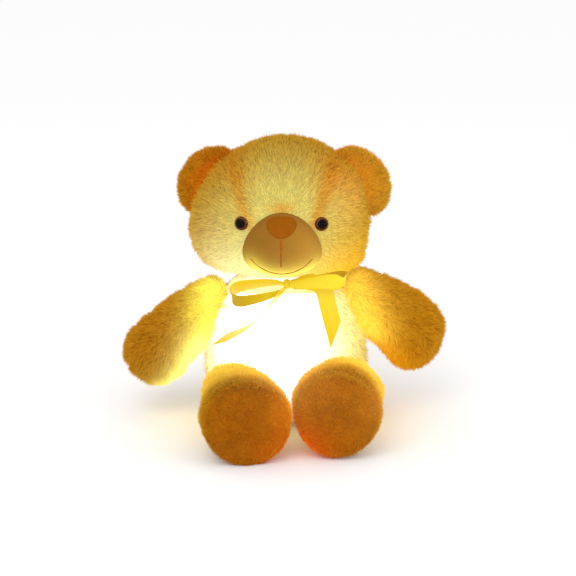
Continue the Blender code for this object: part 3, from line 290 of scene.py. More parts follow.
def write(obj, name, values):
    """Stores a number or a vector at every point."""
    kind = "FLOAT_VECTOR" if np.ndim(values) == 2 else "FLOAT"
    attribute = obj.data.attributes.new(name, kind, "POINT")
    key = "vector" if kind == "FLOAT_VECTOR" else "value"
    attribute.data.foreach_set(key, np.asarray(values, np.float32).ravel())


# %% Soft shapes to work with
def waves(points, size, seed):
    """A soft random field from -1 to 1, made of a few plane waves."""
    own = np.random.default_rng(seed)
    total = np.zeros(len(points))
    for _ in range(9):
        direction = own.normal(size=3)
        direction *= 2 * np.pi / size / np.linalg.norm(direction) * own.uniform(0.6, 1.4)
        total += np.sin(points @ direction + own.uniform(0, 2 * np.pi))
    return total / 3.2


def near(points, centre, radius):
    """1 at the centre, falling to 0 at the radius."""
    distance = np.linalg.norm(points - np.array(centre), axis=1)
    return np.clip(1 - distance / radius, 0, 1)


def step_up(values, low, high):
    """0 below the low value, 1 above the high one, and smooth between them."""
    share = np.clip((values - low) / (high - low), 0, 1)
    return share * share * (3 - 2 * share)


# %% The turn of the head
def turned(points):
    """Points or directions, turned with the head."""
    cosine, sine = math.cos(YAW), math.sin(YAW)
    out = np.array(points, float)
    x, y = out[..., 0].copy(), out[..., 1].copy()
    out[..., 0] = cosine * x - sine * y
    out[..., 1] = sine * x + cosine * y
    return out


def turn_head(obj):
    """Turns a form and its comb with the head."""
    set_points(obj, turned(points_of(obj)))
    if "comb" in obj.data.attributes:
        comb = obj.data.attributes["comb"].data
        comb.foreach_set("vector", turned(read(comb, "vector")).astype(np.float32).ravel())


# %% [markdown]
# ## The light behind the cloth
#
# In the real bear three small lamps shine through filling and pile. Tracing that light
# through a million fibres would take hours and stay noisy, so it is stored instead: each
# point of a cover carries the light that comes out there, and the pile gives it off. The
# light is a sum of soft spots and bars. The lamp burns the belly white, what leaks up
# through the neck lights the face, and the sides of the arms near the belly catch the
# rest. Deep pile takes the blue out first, so far ends turn honey.

# %% Where the light comes through
# Each light is a place, or the two ends of a bar, then its radius and its colour.
SPOTS = {
    "torso": (
        ((-0.020, -0.070, 0.095), 0.060, (1.20, 1.50, 2.60)),
        ((0.000, -0.060, 0.165), 0.035, (0.50, 0.80, 1.60)),
        ((-0.070, -0.060, 0.130), 0.040, (0.00, 0.30, 0.90)),
        ((-0.050, -0.045, 0.172), 0.026, (0.80, 0.90, 1.00)),
        ((-0.010, -0.040, 0.110), 0.100, (1.25, 1.35, 0.34)),
    ),
    "head": (
        ((-0.060, -0.070, 0.160), 0.062, (0.80, 1.05, 0.65)),
        ((0.055, -0.070, 0.165), 0.060, (0.70, 0.42, 0.02)),
        ((-0.012, -0.100, 0.262), 0.072, (0.34, 0.50, 0.18)),
        ((0.000, 0.000, 0.200), 0.130, (0.20, 0.15, 0.00)),
        ((0.066, -0.060, 0.288), 0.036, (0.16, 0.08, 0.02)),
    ),
    "arm_left": (
        ((-0.086, -0.020, 0.172), (-0.094, -0.020, 0.130), 0.025, (0.66, 0.82, 0.11)),
        ((-0.108, -0.020, 0.095), (-0.138, -0.020, 0.040), 0.024, (0.72, 0.98, 0.28)),
        ((-0.120, 0.000, 0.105), 0.110, (0.14, 0.06, 0.00)),
    ),
    "arm_right": (
        ((0.076, -0.030, 0.180), (0.098, -0.030, 0.115), 0.030, (0.66, 0.54, 0.06)),
        ((0.130, -0.020, 0.068), 0.030, (0.22, 0.09, 0.00)),
        ((0.140, 0.000, 0.105), 0.110, (0.16, 0.07, 0.00)),
    ),
    "leg_left": (
        ((-0.055, -0.135, 0.115), 0.040, (0.05, 0.01, 0.00)),
        ((-0.010, -0.130, 0.090), 0.040, (0.35, 0.22, 0.05)),
        ((-0.060, -0.050, 0.060), 0.070, (0.60, 0.50, 0.06)),
        ((-0.012, -0.170, 0.008), 0.030, (0.26, 0.00, 0.00)),
        ((-0.105, -0.160, 0.060), 0.030, (0.09, 0.05, 0.00)),
        ((-0.006, -0.165, 0.060), 0.030, (0.30, 0.10, 0.00)),
    ),
    "leg_right": (
        ((0.050, -0.135, 0.120), 0.040, (0.13, 0.05, 0.00)),
        ((0.005, -0.130, 0.090), 0.040, (0.35, 0.22, 0.05)),
        ((0.085, -0.060, 0.060), 0.070, (0.60, 0.50, 0.06)),
        ((0.006, -0.165, 0.008), 0.034, (0.42, 0.00, 0.00)),
        ((0.100, -0.160, 0.070), 0.036, (0.26, 0.14, 0.02)),
    ),
    "ear_left": (
        ((-0.075, -0.010, 0.285), 0.045, (0.30, 0.00, 0.00)),
        ((-0.105, 0.000, 0.290), 0.060, (0.04, 0.05, 0.00)),
    ),
    "ear_right": (
        ((0.075, -0.010, 0.290), 0.045, (0.24, 0.03, 0.00)),
        ((0.110, 0.000, 0.290), 0.080, (0.13, 0.12, 0.01)),
    ),
    "muzzle": (
        ((-0.040, -0.110, 0.212), (0.020, -0.115, 0.208), 0.018, (1.05, 0.96, 0.15)),
        ((0.020, -0.125, 0.235), 0.035, (0.22, 0.12, 0.02)),
    ),
    "nose": (((-0.010, -0.130, 0.260), 0.050, (0.03, 0.01, 0.00)),),
}
GLOW_STRENGTH = 4.0


# %% Store the light on a cover
def light_up(obj, key, share=1.0):
    """Stores the light that comes through at each point, as a share of the strength."""
    points = points_of(obj)
    total = np.zeros((len(points), 3))
    for *ends, radius, colour in SPOTS[key]:
        start, way = np.array(ends[0]), np.array(ends[-1]) - np.array(ends[0])
        reach = np.clip((points - start) @ way / max(way @ way, 1e-9), 0, 1)
        distance = np.linalg.norm(points - start - reach[:, None] * way, axis=1)
        total += np.exp(-((distance / radius) ** 2))[:, None] * np.array(colour)
    share = np.broadcast_to(np.asarray(share, float).T, (3, len(points))).T
    write(obj, "glow", total * share / GLOW_STRENGTH)


# %% [markdown]
# ## The covers
#
# Stuffed cloth is never quite smooth, so each form is pushed in and out a little by a soft
# random field. It then gets the attributes that its fur will read: how dense the pile is,
# how long, and which way it is combed. Attributes do this better than painted maps here,
# because they follow from the shape by a formula.

# %% Loosen and dress a cover
def soften(obj, size, amount, seed):
    """Pushes a form in and out by waves of about this size."""
    points = points_of(obj)
    set_points(obj, points + normals_of(obj) * (amount * waves(points, size, seed))[:, None])


def dress(obj, cover, pile, comb):
    """Stores the pile's density, length and direction, with the comb laid on the cloth."""
    normals = normals_of(obj)
    comb = comb - normals * (comb * normals).sum(1, keepdims=True)
    comb /= np.maximum(np.linalg.norm(comb, axis=1, keepdims=True), 1e-6)
    write(obj, "cover", cover)
    write(obj, "pile", pile)
    write(obj, "comb", comb)
    write(obj, "along", np.zeros(len(comb)))
    write(obj, "tone", np.full(len(comb), 0.5))


# %% [markdown]
# ## The torso
#
# The torso is a sack that sits on its own flattened seat. One upright form is enough for
# it, made a little fuller on the right. Its pile parts where the zip runs down the back,
# and ends below the ribbon, which would otherwise sink into it.

# %% The torso's cover
FLANK_SWELL = 0.045
TORSO_PILE, NECK_TRIM = 0.0100, 0.0050
ZIP_HALF_WIDTH, ZIP_LOW, ZIP_HIGH, ZIP_EDGE = 0.006, 0.030, 0.124, 0.004

torso = upright_form("torso_plush", TORSO_ROWS, 56, 88)
soften(torso, 0.07, 0.0010, 1)
p = points_of(torso)
flank = step_up(p[:, 2], 0.020, 0.045) * (1 - step_up(p[:, 2], 0.095, 0.125)) * (p[:, 0] > 0)
p[:, 0] *= 1 + FLANK_SWELL * flank
p[:, 2] = np.maximum(p[:, 2], 0.0002)
set_points(torso, p)
above_zip = np.clip((ZIP_HIGH - p[:, 2]) / ZIP_EDGE, 0, 1)
parting = np.clip(1 - (np.abs(p[:, 0]) - ZIP_HALF_WIDTH) / ZIP_EDGE, 0, 1) * (p[:, 1] > 0.04)
parting *= np.clip((p[:, 2] - ZIP_LOW) / ZIP_EDGE, 0, 1) * above_zip
cover = step_up(p[:, 2], 0.001, 0.008) * (1 - parting) * (1 - step_up(p[:, 2], 0.158, 0.167))
comb = np.stack([p[:, 0] * 3, p[:, 1] * 3, np.full(len(p), -1.0)], 1)
pile = TORSO_PILE - NECK_TRIM * step_up(p[:, 2], 0.155, 0.172)
dress(torso, cover, pile * (0.15 + 0.85 * step_up(p[:, 2], 0.002, 0.018)), comb)
# The lamp sits behind the belly, so the back and the seat stay dim.
ahead = 0.35 + 0.65 * step_up(-p[:, 1], -0.03, 0.02)
light_up(torso, "torso", ahead * (0.3 + 0.7 * step_up(p[:, 2], 0.01, 0.05)))
print("torso:", len(p), "points")

# %% [markdown]
# ## The head
#
# The head is sewn from two sides and a strip between them, and its cheeks are unequal, as
# stuffing leaves them. A ball would be too even, so it is a second upright form with the
# cheeks pulled in and out. Two seams run from the crown to the eyes. There the cloth is
# double and lets only orange light through, so they are drawn in the stored light.

# %% The head's cover
CHEEK_TRIM = {"left": -0.026, "right": 0.080}
EYE_PARTING = 0.0135

head = upright_form("head_plush", HEAD_ROWS, 60, 96)
soften(head, 0.06, 0.0008, 2)
p = points_of(head)
cheek = step_up(p[:, 2], 0.185, 0.215) * (1 - step_up(p[:, 2], 0.262, 0.305))
p[:, 0] *= 1 - np.where(p[:, 0] > 0, CHEEK_TRIM["right"], CHEEK_TRIM["left"]) * cheek
set_points(head, p)
q = (p - np.array(MUZZLE)) / np.array(MUZZLE_SIZE)
q[:, 0] /= np.clip(muzzle_width(p[:, 2]), 0.57, 1.29)
snout = np.linalg.norm(q, axis=1)
eyes = np.max([near(p, (x, -0.086, EYE_Z), EYE_PARTING) for x in (EYE_X, -EYE_X)], 0)
cover = step_up(snout, 0.88, 1.02) * (1 - step_up(eyes, 0.25, 0.55))
cover *= step_up(p[:, 2], 0.186, 0.196)
pile = 0.0050 + 0.0040 * step_up(snout, 1.1, 2.4) - 0.0015 * step_up(p[:, 2], 0.30, 0.335)
pile *= 0.55 + 0.45 * step_up(p[:, 2], 0.190, 0.206)
away = p - np.array([0, -0.125, 0.258])
away /= np.linalg.norm(away, axis=1, keepdims=True)
comb = away + np.array([0, 0, -0.35]) * step_up(p[:, 1], -0.06, 0.05)[:, None]
dress(head, cover, pile, comb)
print("head:", len(p), "points")

# %% The seams of the head, and its light
SEAM_WIDTH = 0.0075

seam_x = 0.041 + 0.0155 * (p[:, 2] - 0.272) / 0.049
seam = np.exp(-(((np.abs(p[:, 0]) - seam_x) / SEAM_WIDTH) ** 2))
seam *= step_up(p[:, 2], 0.245, 0.262) * step_up(0.335 - p[:, 2], 0, 0.02)
brow = np.exp(-((p[:, 0] / 0.014) ** 2) - ((p[:, 2] - 0.279) / 0.007) ** 2)
seam = np.clip(seam + brow, 0, 1) * (p[:, 1] < 0)
# The stored light is less green and blue at the corners of the crown, so they glow honey too.
corner = step_up(p[:, 2], 0.275, 0.320) * step_up(np.abs(p[:, 0]), 0.020, 0.060)
red = 1 - 0.05 * seam
green = (1 - 0.50 * seam) * (1 - 0.35 * corner)
blue = (1 - 0.75 * seam) * (1 - 0.50 * corner)
turn_head(head)
light_up(head, "head", np.stack([red, green, blue], 1))
print("seams:", int((seam > 0.5).sum()), "points")

# %% [markdown]
# ## Arms and legs
#
# Each limb is a sewn tube, closed at the far end and stitched to the body at the near one.
# One table serves both arms and one both legs. What differs between left and right, such
# as how far an arm hangs, is a short tuple.

# %% The arms' covers
ARM_PILE = 0.0098

limbs = {}
for side, (pivot, drop, stretch, swell, lift, sag) in ARMS.items():
    sign = SIDES[side]
    axis = Vector((sign * math.cos(drop), 0, -math.sin(drop)))
    up = Vector((sign * math.sin(drop), 0, math.cos(drop)))
    rows = [(at * stretch if at > 0 else at, radius * swell) for at, radius in ARM_ROWS]
    arm = limb_form(f"arm_{side}_plush", pivot, axis, up, rows)
    soften(arm, 0.05, 0.0009, 10 + sign)
    p = points_of(arm)
    at = (p - np.array(pivot)) @ np.array(axis)
    # The arm is a little bowed, with its middle up and its paw down.
    bow = lift * np.exp(-(((at - 0.058) / 0.036) ** 2)) - sag * step_up(at, 0.07, 0.12)
    p += bow[:, None] * np.array(up)
    set_points(arm, p)
    cover = np.ones(len(p))
    comb = np.array(axis)[None] + 0.35 * normals_of(arm) + np.array([0, 0, -0.25])
    dress(arm, cover, ARM_PILE * (0.80 + 0.20 * step_up(at, 0.0, 0.035)), comb)
    light_up(arm, f"arm_{side}")
    limbs[f"arm_{side}"] = (arm, Vector(pivot), axis)
print("arms:", sorted(limbs))

# %% The legs' covers
LEG_PILE, FOOT_TRIM, TOE_PILE = 0.0084, 0.0034, 0.0024
FOOT_EDGE = 0.07

for side, (pivot, foot) in LEGS.items():
    sign = SIDES[side]
    axis = (Vector(foot) - Vector(pivot)).normalized()
    across = Vector((0, 0, 1)).cross(axis).normalized()
    up = axis.cross(across).normalized()
    rows = [(at, wide, high * LEG_HEIGHT[side]) for at, wide, high in LEG_ROWS]
    leg = limb_form(f"leg_{side}_plush", pivot, axis, up, rows, FOOT_EDGE)
    soften(leg, 0.05, 0.0009, 20 + sign)
    p = points_of(leg)
    # The thighs bulge outwards, the right one more.
    at = (p - np.array(pivot)) @ np.array(axis)
    bulge = step_up(sign * (p[:, 0] - pivot[0]), 0.0, 0.035)
    bulge *= np.exp(-(((at - 0.025) / 0.030) ** 2)) * (1 - step_up(p[:, 2], 0.045, 0.085))
    p[:, 0] += sign * THIGH_BULGE[side] * bulge
    p[:, 2] = np.maximum(p[:, 2], 0.0008)
    set_points(leg, p)
    at = (p - np.array(pivot)) @ np.array(axis)
    high = (p - np.array(pivot)) @ np.array(up)
    cover = (1 - step_up(at, 0.1225, 0.1243)) * step_up(p[:, 2], 0.001, 0.006)
    radial = p - np.array(pivot) - at[:, None] * np.array(axis)
    radial /= np.linalg.norm(radial, axis=1, keepdims=True)
    at_foot = step_up(at, 0.085, 0.118)
    comb = np.array(axis) * (1 - 0.25 * at_foot)[:, None]
    comb = comb + radial * (0.25 + 0.75 * at_foot)[:, None]
    pile = LEG_PILE - FOOT_TRIM * at_foot + TOE_PILE * step_up(high, 0.034, 0.048) * at_foot
    pile *= 0.15 + 0.85 * step_up(p[:, 2], 0.001, 0.018)
    dress(leg, cover, pile, comb)
    light_up(leg, f"leg_{side}")
    limbs[f"leg_{side}"] = (leg, Vector(pivot), axis)
print("limbs:", sorted(limbs))

# %% [markdown]
# ## Ears
#
# An ear is two round panels sewn together, lightly filled and stitched on along an arc. A
# flattened ball gives the same outline as a cloth simulation would, and its front is
# hollowed a little, because a real ear cups towards the face.

# %% The ears' covers
EAR_TILT = math.radians(37)
EAR_REACH, EAR_ROOT, EAR_HALF_LENGTH, EAR_HALF_THICK = 0.0345, 0.024, 0.0425, 0.0095
EAR_CUP, EAR_PILE = 0.006, 0.0072


def ear_form(side):
    """A flattened ball, longer outwards than towards the head, and cupped in front."""
    sign = SIDES[side]
    centre = np.array([sign * 0.0886, 0.004, 0.2930])
    outward = np.array([sign * math.cos(EAR_TILT), 0, math.sin(EAR_TILT)])
    along = np.array([-sign * math.sin(EAR_TILT), 0, math.cos(EAR_TILT)])
    u, v = ball_angles(26, 44)
    reach = np.cos(u) * np.cos(v)
    length = np.cos(u) * np.sin(v)
    depth = EAR_HALF_THICK * np.sin(u) - EAR_CUP * (reach**2 + length**2)
    points = (
        centre
        + outward * np.where(reach > 0, EAR_REACH * reach, EAR_ROOT * reach)[..., None]
        + along * (EAR_HALF_LENGTH * length)[..., None]
        + np.array([0, 1, 0]) * depth[..., None]
    )
    ear = ring_mesh(f"ear_{side}_plush", points[1:-1])
    soften(ear, 0.04, 0.0007, 30 + sign)
    p = points_of(ear)
    inner = (p - centre) @ outward
    comb = outward[None] + 1.4 * ((p - centre) / 0.04)
    dress(ear, step_up(inner, -0.016, -0.008), np.full(len(p), EAR_PILE), comb)
    turn_head(ear)
    light_up(ear, f"ear_{side}")
    return ear


ears = {side: ear_form(side) for side in SIDES}
print("ears:", sum(len(ear.data.vertices) for ear in ears.values()), "points")


# %% [markdown]
# ## Wires for node trees
#
# Node trees are easier to read as sums than as lists of links. One small class wraps a
# socket, so that a * 0.5 + b adds the two Math nodes by itself, and 1 - a works too. One
# method adds any other node.

# %% A socket that can be added and multiplied
def operator(operation, swap=False):
    """A method that adds a Math node, with its two values swapped for a reflected form."""

    def method(self, other):
        return self.math(operation, *((other, self) if swap else (self, other)))

    return method


class Wire:
    """A socket of a node tree that can be added, multiplied and so on."""

    def __init__(self, tree, socket=None):
        self.tree, self.socket = tree, socket

    def plug(self, target, value):
        """Links a wire to a socket, or sets the socket to a value."""
        if isinstance(value, Wire):
            self.tree.links.new(value.socket, target)
        else:
            target.default_value = value

    def make(self, kind, inputs=(), output=0, **settings):
        """Adds any node. Inputs pairs an input's name or number with a value or a wire."""
        node = self.tree.nodes.new(kind)
        for name, value in settings.items():
            setattr(node, name, value)
        for key, value in dict(inputs).items():
            self.plug(node.inputs[key], value)
        return Wire(self.tree, node.outputs[output])

    def math(self, operation, *values):
        return self.make("ShaderNodeMath", dict(enumerate(values)), operation=operation)

    __add__, __radd__ = operator("ADD"), operator("ADD", True)
    __sub__, __rsub__ = operator("SUBTRACT"), operator("SUBTRACT", True)
    __mul__, __rmul__ = operator("MULTIPLY"), operator("MULTIPLY", True)
    __truediv__, __rtruediv__ = operator("DIVIDE"), operator("DIVIDE", True)


# %% Colours, stored values and grain
def scaled(wire, vector, amount):
    """A colour or a vector times a number."""
    return wire.make("ShaderNodeVectorMath", {0: vector, 3: amount}, operation="SCALE")


def mixed(wire, share, low, high):
    """A colour between two others."""
    return wire.make("ShaderNodeMix", {0: share, 6: low, 7: high}, 2, data_type="RGBA")


def stored(wire, name, output="Fac"):
    """What the mesh carries at its points."""
    return wire.make("ShaderNodeAttribute", output=output, attribute_name=name)


def grain_of(wire, scale, detail):
    """A noise that keeps its place on the piece."""
    place = wire.make("ShaderNodeTexCoord", output="Object")
    inputs = {"Vector": place, "Scale": scale, "Detail": detail}
    return wire.make("ShaderNodeTexNoise", inputs, "Fac")


# %% Start a material
def new_material(name, roughness, **constants):
    """A new material, its shader and a wire of its tree. Constants set the shader."""
    made = bpy.data.materials.new(name)
    made.use_nodes = True
    shader = made.node_tree.nodes["Principled BSDF"]
    shader.inputs["Roughness"].default_value = roughness
    for key, value in constants.items():
        shader.inputs[key.replace("_", " ")].default_value = value
    return made, shader, Wire(made.node_tree)


looks = {}

# %% [markdown]
# ## Plush
#
# Plush is polyester pile and matt. Its root is painted darker as shade, where light hardly
# comes.
# A flat colour would look like felt, so each fibre has its own tone, and both its colour
# and the light that comes through it follow that and its height.

# %% The plush material
PILE_SPECULAR = 0.05
# PILE_ROOT is darker than PILE_TIP as painted shade at the root.
PILE_ROOT, PILE_TIP = (0.37, 0.155, 0.006, 1), (0.58, 0.300, 0.018, 1)


def give_glow(wire, shader, bright):
    """Feeds the stored light to the shader, made brighter or darker."""
    glow = scaled(wire, stored(wire, "glow", "Vector"), bright)
    wire.plug(shader.inputs["Emission Color"], glow)
    shader.inputs["Emission Strength"].default_value = GLOW_STRENGTH


made, shader, wire = new_material("honey_fur", 0.95, Specular_IOR_Level=PILE_SPECULAR)
along, tone = stored(wire, "along"), stored(wire, "tone")
colour = scaled(wire, mixed(wire, along, PILE_ROOT, PILE_TIP), tone * 0.22 + 0.89)
wire.plug(shader.inputs["Base Color"], colour)
give_glow(wire, shader, (tone * 0.4 + 0.9) * (along * 0.35 + 0.75))
looks["plush"] = made
print("plush:", len(made.node_tree.nodes), "nodes")

# %% [markdown]
# ## Growing fur
#
# Fur could be hair curves or a texture. Hair curves are lost on export, and a texture has
# no outline, so the pile is made of real blades: thin curved leaves of three triangles. A
# geometry node tree scatters them over a cover, leans them along the comb, gathers them
# into tufts and stores each one's tone. The result is then kept as a plain mesh.

# %% One blade
def make_blade():
    """A thin leaf of three triangles, one unit high, bent over towards its tip."""
    mesh = bpy.data.meshes.new("blade")
    points = [(-0.5, 0, 0), (0.5, 0, 0), (-0.36, 0.10, 0.5), (0.36, 0.10, 0.5), (0, 0.34, 1.0)]
    mesh.from_pydata(points, [], [(0, 1, 3), (0, 3, 2), (2, 3, 4)])
    heights = mesh.attributes.new("along", "FLOAT", "POINT")
    heights.data.foreach_set("value", [0.0, 0.0, 0.5, 0.5, 1.0])
    return add_object("blade", mesh)


# %% The inputs of the tree that grows fur
FUR_DEFAULTS = {
    "Density": 300000.0,
    "Width": 0.0011,
    "Lean": 1.0,
    "Tuft Size": 0.012,
    "Tuft": 1.0,
    "Mess": 0.5,
}


def new_fur_tree():
    """An empty tree with its inputs named, and a wire for each of them."""
    tree = bpy.data.node_groups.new("fur", "GeometryNodeTree")
    socket = tree.interface.new_socket
    socket("Cover", in_out="INPUT", socket_type="NodeSocketGeometry")
    for name, value in FUR_DEFAULTS.items():
        socket(name, in_out="INPUT", socket_type="NodeSocketFloat").default_value = value
    socket("Seed", in_out="INPUT", socket_type="NodeSocketInt").default_value = 1
    socket("Blade", in_out="INPUT", socket_type="NodeSocketObject")
    socket("Finish", in_out="INPUT", socket_type="NodeSocketMaterial")
    socket("Fur", in_out="OUTPUT", socket_type="NodeSocketGeometry")
    start = tree.nodes.new("NodeGroupInput")
    return tree, {s.name: Wire(tree, s) for s in start.outputs if s.name}


# %% Which way each blade points
TUFT_PULL = 4.0


def blade_turn(wire, given, normal, chance, field):
    """Leans a blade along the comb, pulls it to its tuft, and spins it at random."""

    def added(*values):
        return wire.make("ShaderNodeVectorMath", dict(enumerate(values)), operation="ADD")

    place = wire.make("GeometryNodeInputPosition")
    noise = {"Vector": place, "Scale": 1 / given["Tuft Size"], "Detail": 2.0}
    tufts = added(wire.make("ShaderNodeTexNoise", noise, "Color"), (-0.5, -0.5, -0.5))
    mess = wire.make(
        "FunctionNodeRandomValue",
        {0: (-0.5, -0.5, -0.5), 1: (0.5, 0.5, 0.5), "Seed": given["Seed"]},
        data_type="FLOAT_VECTOR",
    )
    pointing = added(normal, scaled(wire, field("comb", "FLOAT_VECTOR"), given["Lean"]))
    pointing = added(pointing, scaled(wire, tufts, given["Tuft"] * TUFT_PULL))
    pointing = added(pointing, scaled(wire, mess, given["Mess"]))
    spin = wire.make("ShaderNodeCombineXYZ", {2: chance(0.0, 2 * math.pi, 1)})
    turn = wire.make("FunctionNodeEulerToRotation", {0: spin})
    return wire.make(
        "FunctionNodeAlignRotationToVector", {"Rotation": turn, "Vector": pointing}, axis="Z"
    )


# %% The tree that grows fur
def fur_tree():
    """Scatters blades over a cover, turns and sizes them, and stores each one's tone."""
    tree, given = new_fur_tree()
    wire = Wire(tree)

    def field(name, kind="FLOAT"):
        named = {"Name": name}
        return wire.make("GeometryNodeInputNamedAttribute", named, "Attribute", data_type=kind)

    def chance(low, high, shift):
        inputs = {2: low, 3: high, "Seed": given["Seed"] + shift}
        return wire.make("FunctionNodeRandomValue", inputs, 1, data_type="FLOAT")

    scatter = wire.make(
        "GeometryNodeDistributePointsOnFaces",
        {
            "Mesh": given["Cover"],
            "Density": given["Density"] * field("cover"),
            "Seed": given["Seed"],
        },
        "Points",
    )
    normal = Wire(tree, scatter.socket.node.outputs["Normal"])
    turn = blade_turn(wire, given, normal, chance, field)
    length = field("pile") * chance(0.65, 1.15, 2)
    size = wire.make("ShaderNodeCombineXYZ", {0: given["Width"], 1: length * 0.8, 2: length})
    leaf = wire.make("GeometryNodeObjectInfo", {"Object": given["Blade"]}, "Geometry")
    blades = wire.make(
        "GeometryNodeInstanceOnPoints",
        {"Points": scatter, "Instance": leaf, "Rotation": turn, "Scale": size},
    )
    blades = wire.make(
        "GeometryNodeStoreNamedAttribute",
        {"Geometry": blades, "Name": "tone", "Value": chance(0.0, 1.0, 3)},
        data_type="FLOAT",
        domain="INSTANCE",
    )
    grown = wire.make("GeometryNodeRealizeInstances", {"Geometry": blades})
    done = wire.make("GeometryNodeSetMaterial", {"Geometry": grown, "Material": given["Finish"]})
    wire.plug(tree.nodes.new("NodeGroupOutput").inputs["Fur"], done)
    return tree


blade = make_blade()
tree = fur_tree()
print("fur tree:", len(tree.nodes), "nodes")


# %% Grow it on a cover
def grow_fur(cover, name, finish, count, **settings):
    """Grows about count blades on the cover and returns them as a plain mesh object."""
    area = sum(face.area for face in cover.data.polygons)
    modifier = cover.modifiers.new("fur", "NODES")
    modifier.node_group = tree
    values = {"Density": count / area, "Blade": blade, "Finish": finish, **settings}
    for item in tree.interface.items_tree:
        if item.in_out == "INPUT" and item.name in values:
            modifier[item.identifier] = values[item.name]
    graph = bpy.context.evaluated_depsgraph_get()
    mesh = bpy.data.meshes.new_from_object(cover.evaluated_get(graph))
    cover.modifiers.remove(modifier)
    for spent in ("cover", "pile", "comb"):
        mesh.attributes.remove(mesh.attributes[spent])
    mesh.name = name
    obj = add_object(name, mesh)
    points = points_of(obj)
    points[:, 2] = np.maximum(points[:, 2], 0.0003)
    set_points(obj, points)
    print(name, len(mesh.polygons), "faces")
    return obj


# %% Fur on every cover
SHARE = 1.0
BLADES = {"torso": 46000, "head": 62000, "arm": 34000, "leg": 40000, "ear": 15000}


def fur_of(key, cover, **settings):
    """The fur of one cover, with as many blades as its kind gets."""
    count = BLADES[key.split("_")[0]] * SHARE
    return grow_fur(cover, f"{key}_fur", looks["plush"], count, **settings)


fur = {"torso": fur_of("torso", torso, Seed=1), "head": fur_of("head", head, Seed=2)}
for seed, (key, (limb, _, _)) in enumerate(limbs.items(), 3):
    fur[key] = fur_of(key, limb, Seed=seed)
for side, ear in ears.items():
    fur[f"ear_{side}"] = fur_of(f"ear_{side}", ear, Seed=9, Width=0.0010)

# %% [markdown]
# ## Muzzle, nose and mouth
#
# The muzzle is a separate stuffed cap of pile so short that no fibre shows. Blades would
# be wasted on it: a fine bump and a patchy colour do the same. The nose is a padded patch
# that follows the muzzle's curve, and both mouth lines are thread drawn tight, so they lie
# in grooves that the mesh really has.

# %% The short-pile material
def short_pile_material(name, colour):
    """Matt cloth with patches and a fine grain, which also drives its bump."""
    made, shader, wire = new_material(name, 0.95, Specular_IOR_Level=PILE_SPECULAR)
    grain, patch = grain_of(wire, 900.0, 3.0), grain_of(wire, 60.0, 2.0)
    bright = grain * 0.35 + patch * 0.25 + 0.70
    wire.plug(shader.inputs["Base Color"], scaled(wire, colour, bright))
    give_glow(wire, shader, bright)
    bump = wire.make("ShaderNodeBump", {"Strength": 0.5, "Distance": 0.0006, "Height": grain})
    wire.plug(shader.inputs["Normal"], bump)
    return made


looks["muzzle"] = short_pile_material("short_pile_muzzle", (0.27, 0.117, 0.013))
looks["nose"] = short_pile_material("short_pile_nose", (0.265, 0.076, 0.002))
looks["sole"] = short_pile_material("short_pile_sole", (0.560, 0.185, 0.006))
print("short pile:", sorted(look for look in looks if look != "plush"))

# %% The muzzle
SMILE_LOW, SMILE_RISE, SMILE_HALF = 0.2092, 0.0190, 0.0355
GROOVE_DEPTH, GROOVE_WIDTH = 0.0010, 0.0022
CREASE_DEPTH, CREASE_WIDTH = 0.0009, 0.0020


def smile_height(x):
    return SMILE_LOW + SMILE_RISE * np.clip(np.abs(x) / SMILE_HALF, 0, 1.1) ** 2


def muzzle_form():
    """A ball, narrowed at the brow, with grooves where the threads pull it in."""
    u, v = ball_angles(40, 64)
    unit = np.stack([np.cos(u) * np.cos(v), np.sin(u), np.cos(u) * np.sin(v)], 2)
    points = np.array(MUZZLE) + unit * np.array(MUZZLE_SIZE)
    obj = ring_mesh("muzzle_plush", points[1:-1])
    p = points_of(obj)
    p[:, 0] = MUZZLE.x + (p[:, 0] - MUZZLE.x) * muzzle_width(p[:, 2])
    set_points(obj, p)
    x = p[:, 0] - MUZZLE.x
    groove = np.exp(-((x / GROOVE_WIDTH) ** 2))
    groove *= step_up(0.2535 - p[:, 2], 0, 0.003) * step_up(p[:, 2], 0.214, 0.221)
    crease = np.exp(-(((p[:, 2] - smile_height(x)) / CREASE_WIDTH) ** 2))
    crease *= (np.abs(x) < SMILE_HALF) * (p[:, 1] < MUZZLE.y)
    depth = GROOVE_DEPTH * groove + CREASE_DEPTH * crease
    set_points(obj, p - normals_of(obj) * depth[:, None])
    turn_head(obj)
    light_up(obj, "muzzle")
    obj.data.materials.append(looks["muzzle"])
    return obj


muzzle = muzzle_form()
print("muzzle:", len(muzzle.data.vertices), "points")

# %% The nose
NOSE_Z, NOSE_HALF, NOSE_HALF_WIDTH, NOSE_SWELL = 0.2645, 0.0102, 0.0168, 0.0022
NOSE_SEAM_DEPTH, NOSE_SEAM_WIDTH = 0.0006, 0.0012


def on_muzzle(x, z, stand):
    """Points on the front of the muzzle, standing off it by this much."""
    width, depth, height = MUZZLE_SIZE.x + stand, MUZZLE_SIZE.y + stand, MUZZLE_SIZE.z + stand
    across = x / (width * muzzle_width(z))
    left = np.clip(1 - across**2 - ((z - MUZZLE.z) / height) ** 2, 0, 1)
    return turned(np.stack([x + MUZZLE.x, MUZZLE.y - depth * np.sqrt(left), z], -1))


def nose_form():
    """A padded patch, wider at its top, with a seam down its middle."""
    share = np.linspace(0.04, 1, 9)[:, None]
    angle = circle(40)[None]
    x = share * NOSE_HALF_WIDTH * np.cos(angle) * (1 + 0.24 * np.sin(angle))
    z = NOSE_Z + share * NOSE_HALF * np.sin(angle) + 0 * x
    seam = NOSE_SEAM_DEPTH * np.exp(-((x / NOSE_SEAM_WIDTH) ** 2))
    swell = NOSE_SWELL * np.sqrt(np.clip(1 - share**2, 0, 1)) - seam
    outer = on_muzzle(x, z, swell + 0.0002)
    inner = on_muzzle(x[-1:] * 0.98, z[-1:], -0.001)
    return ring_mesh("nose_cloth", np.concatenate([outer, inner]))


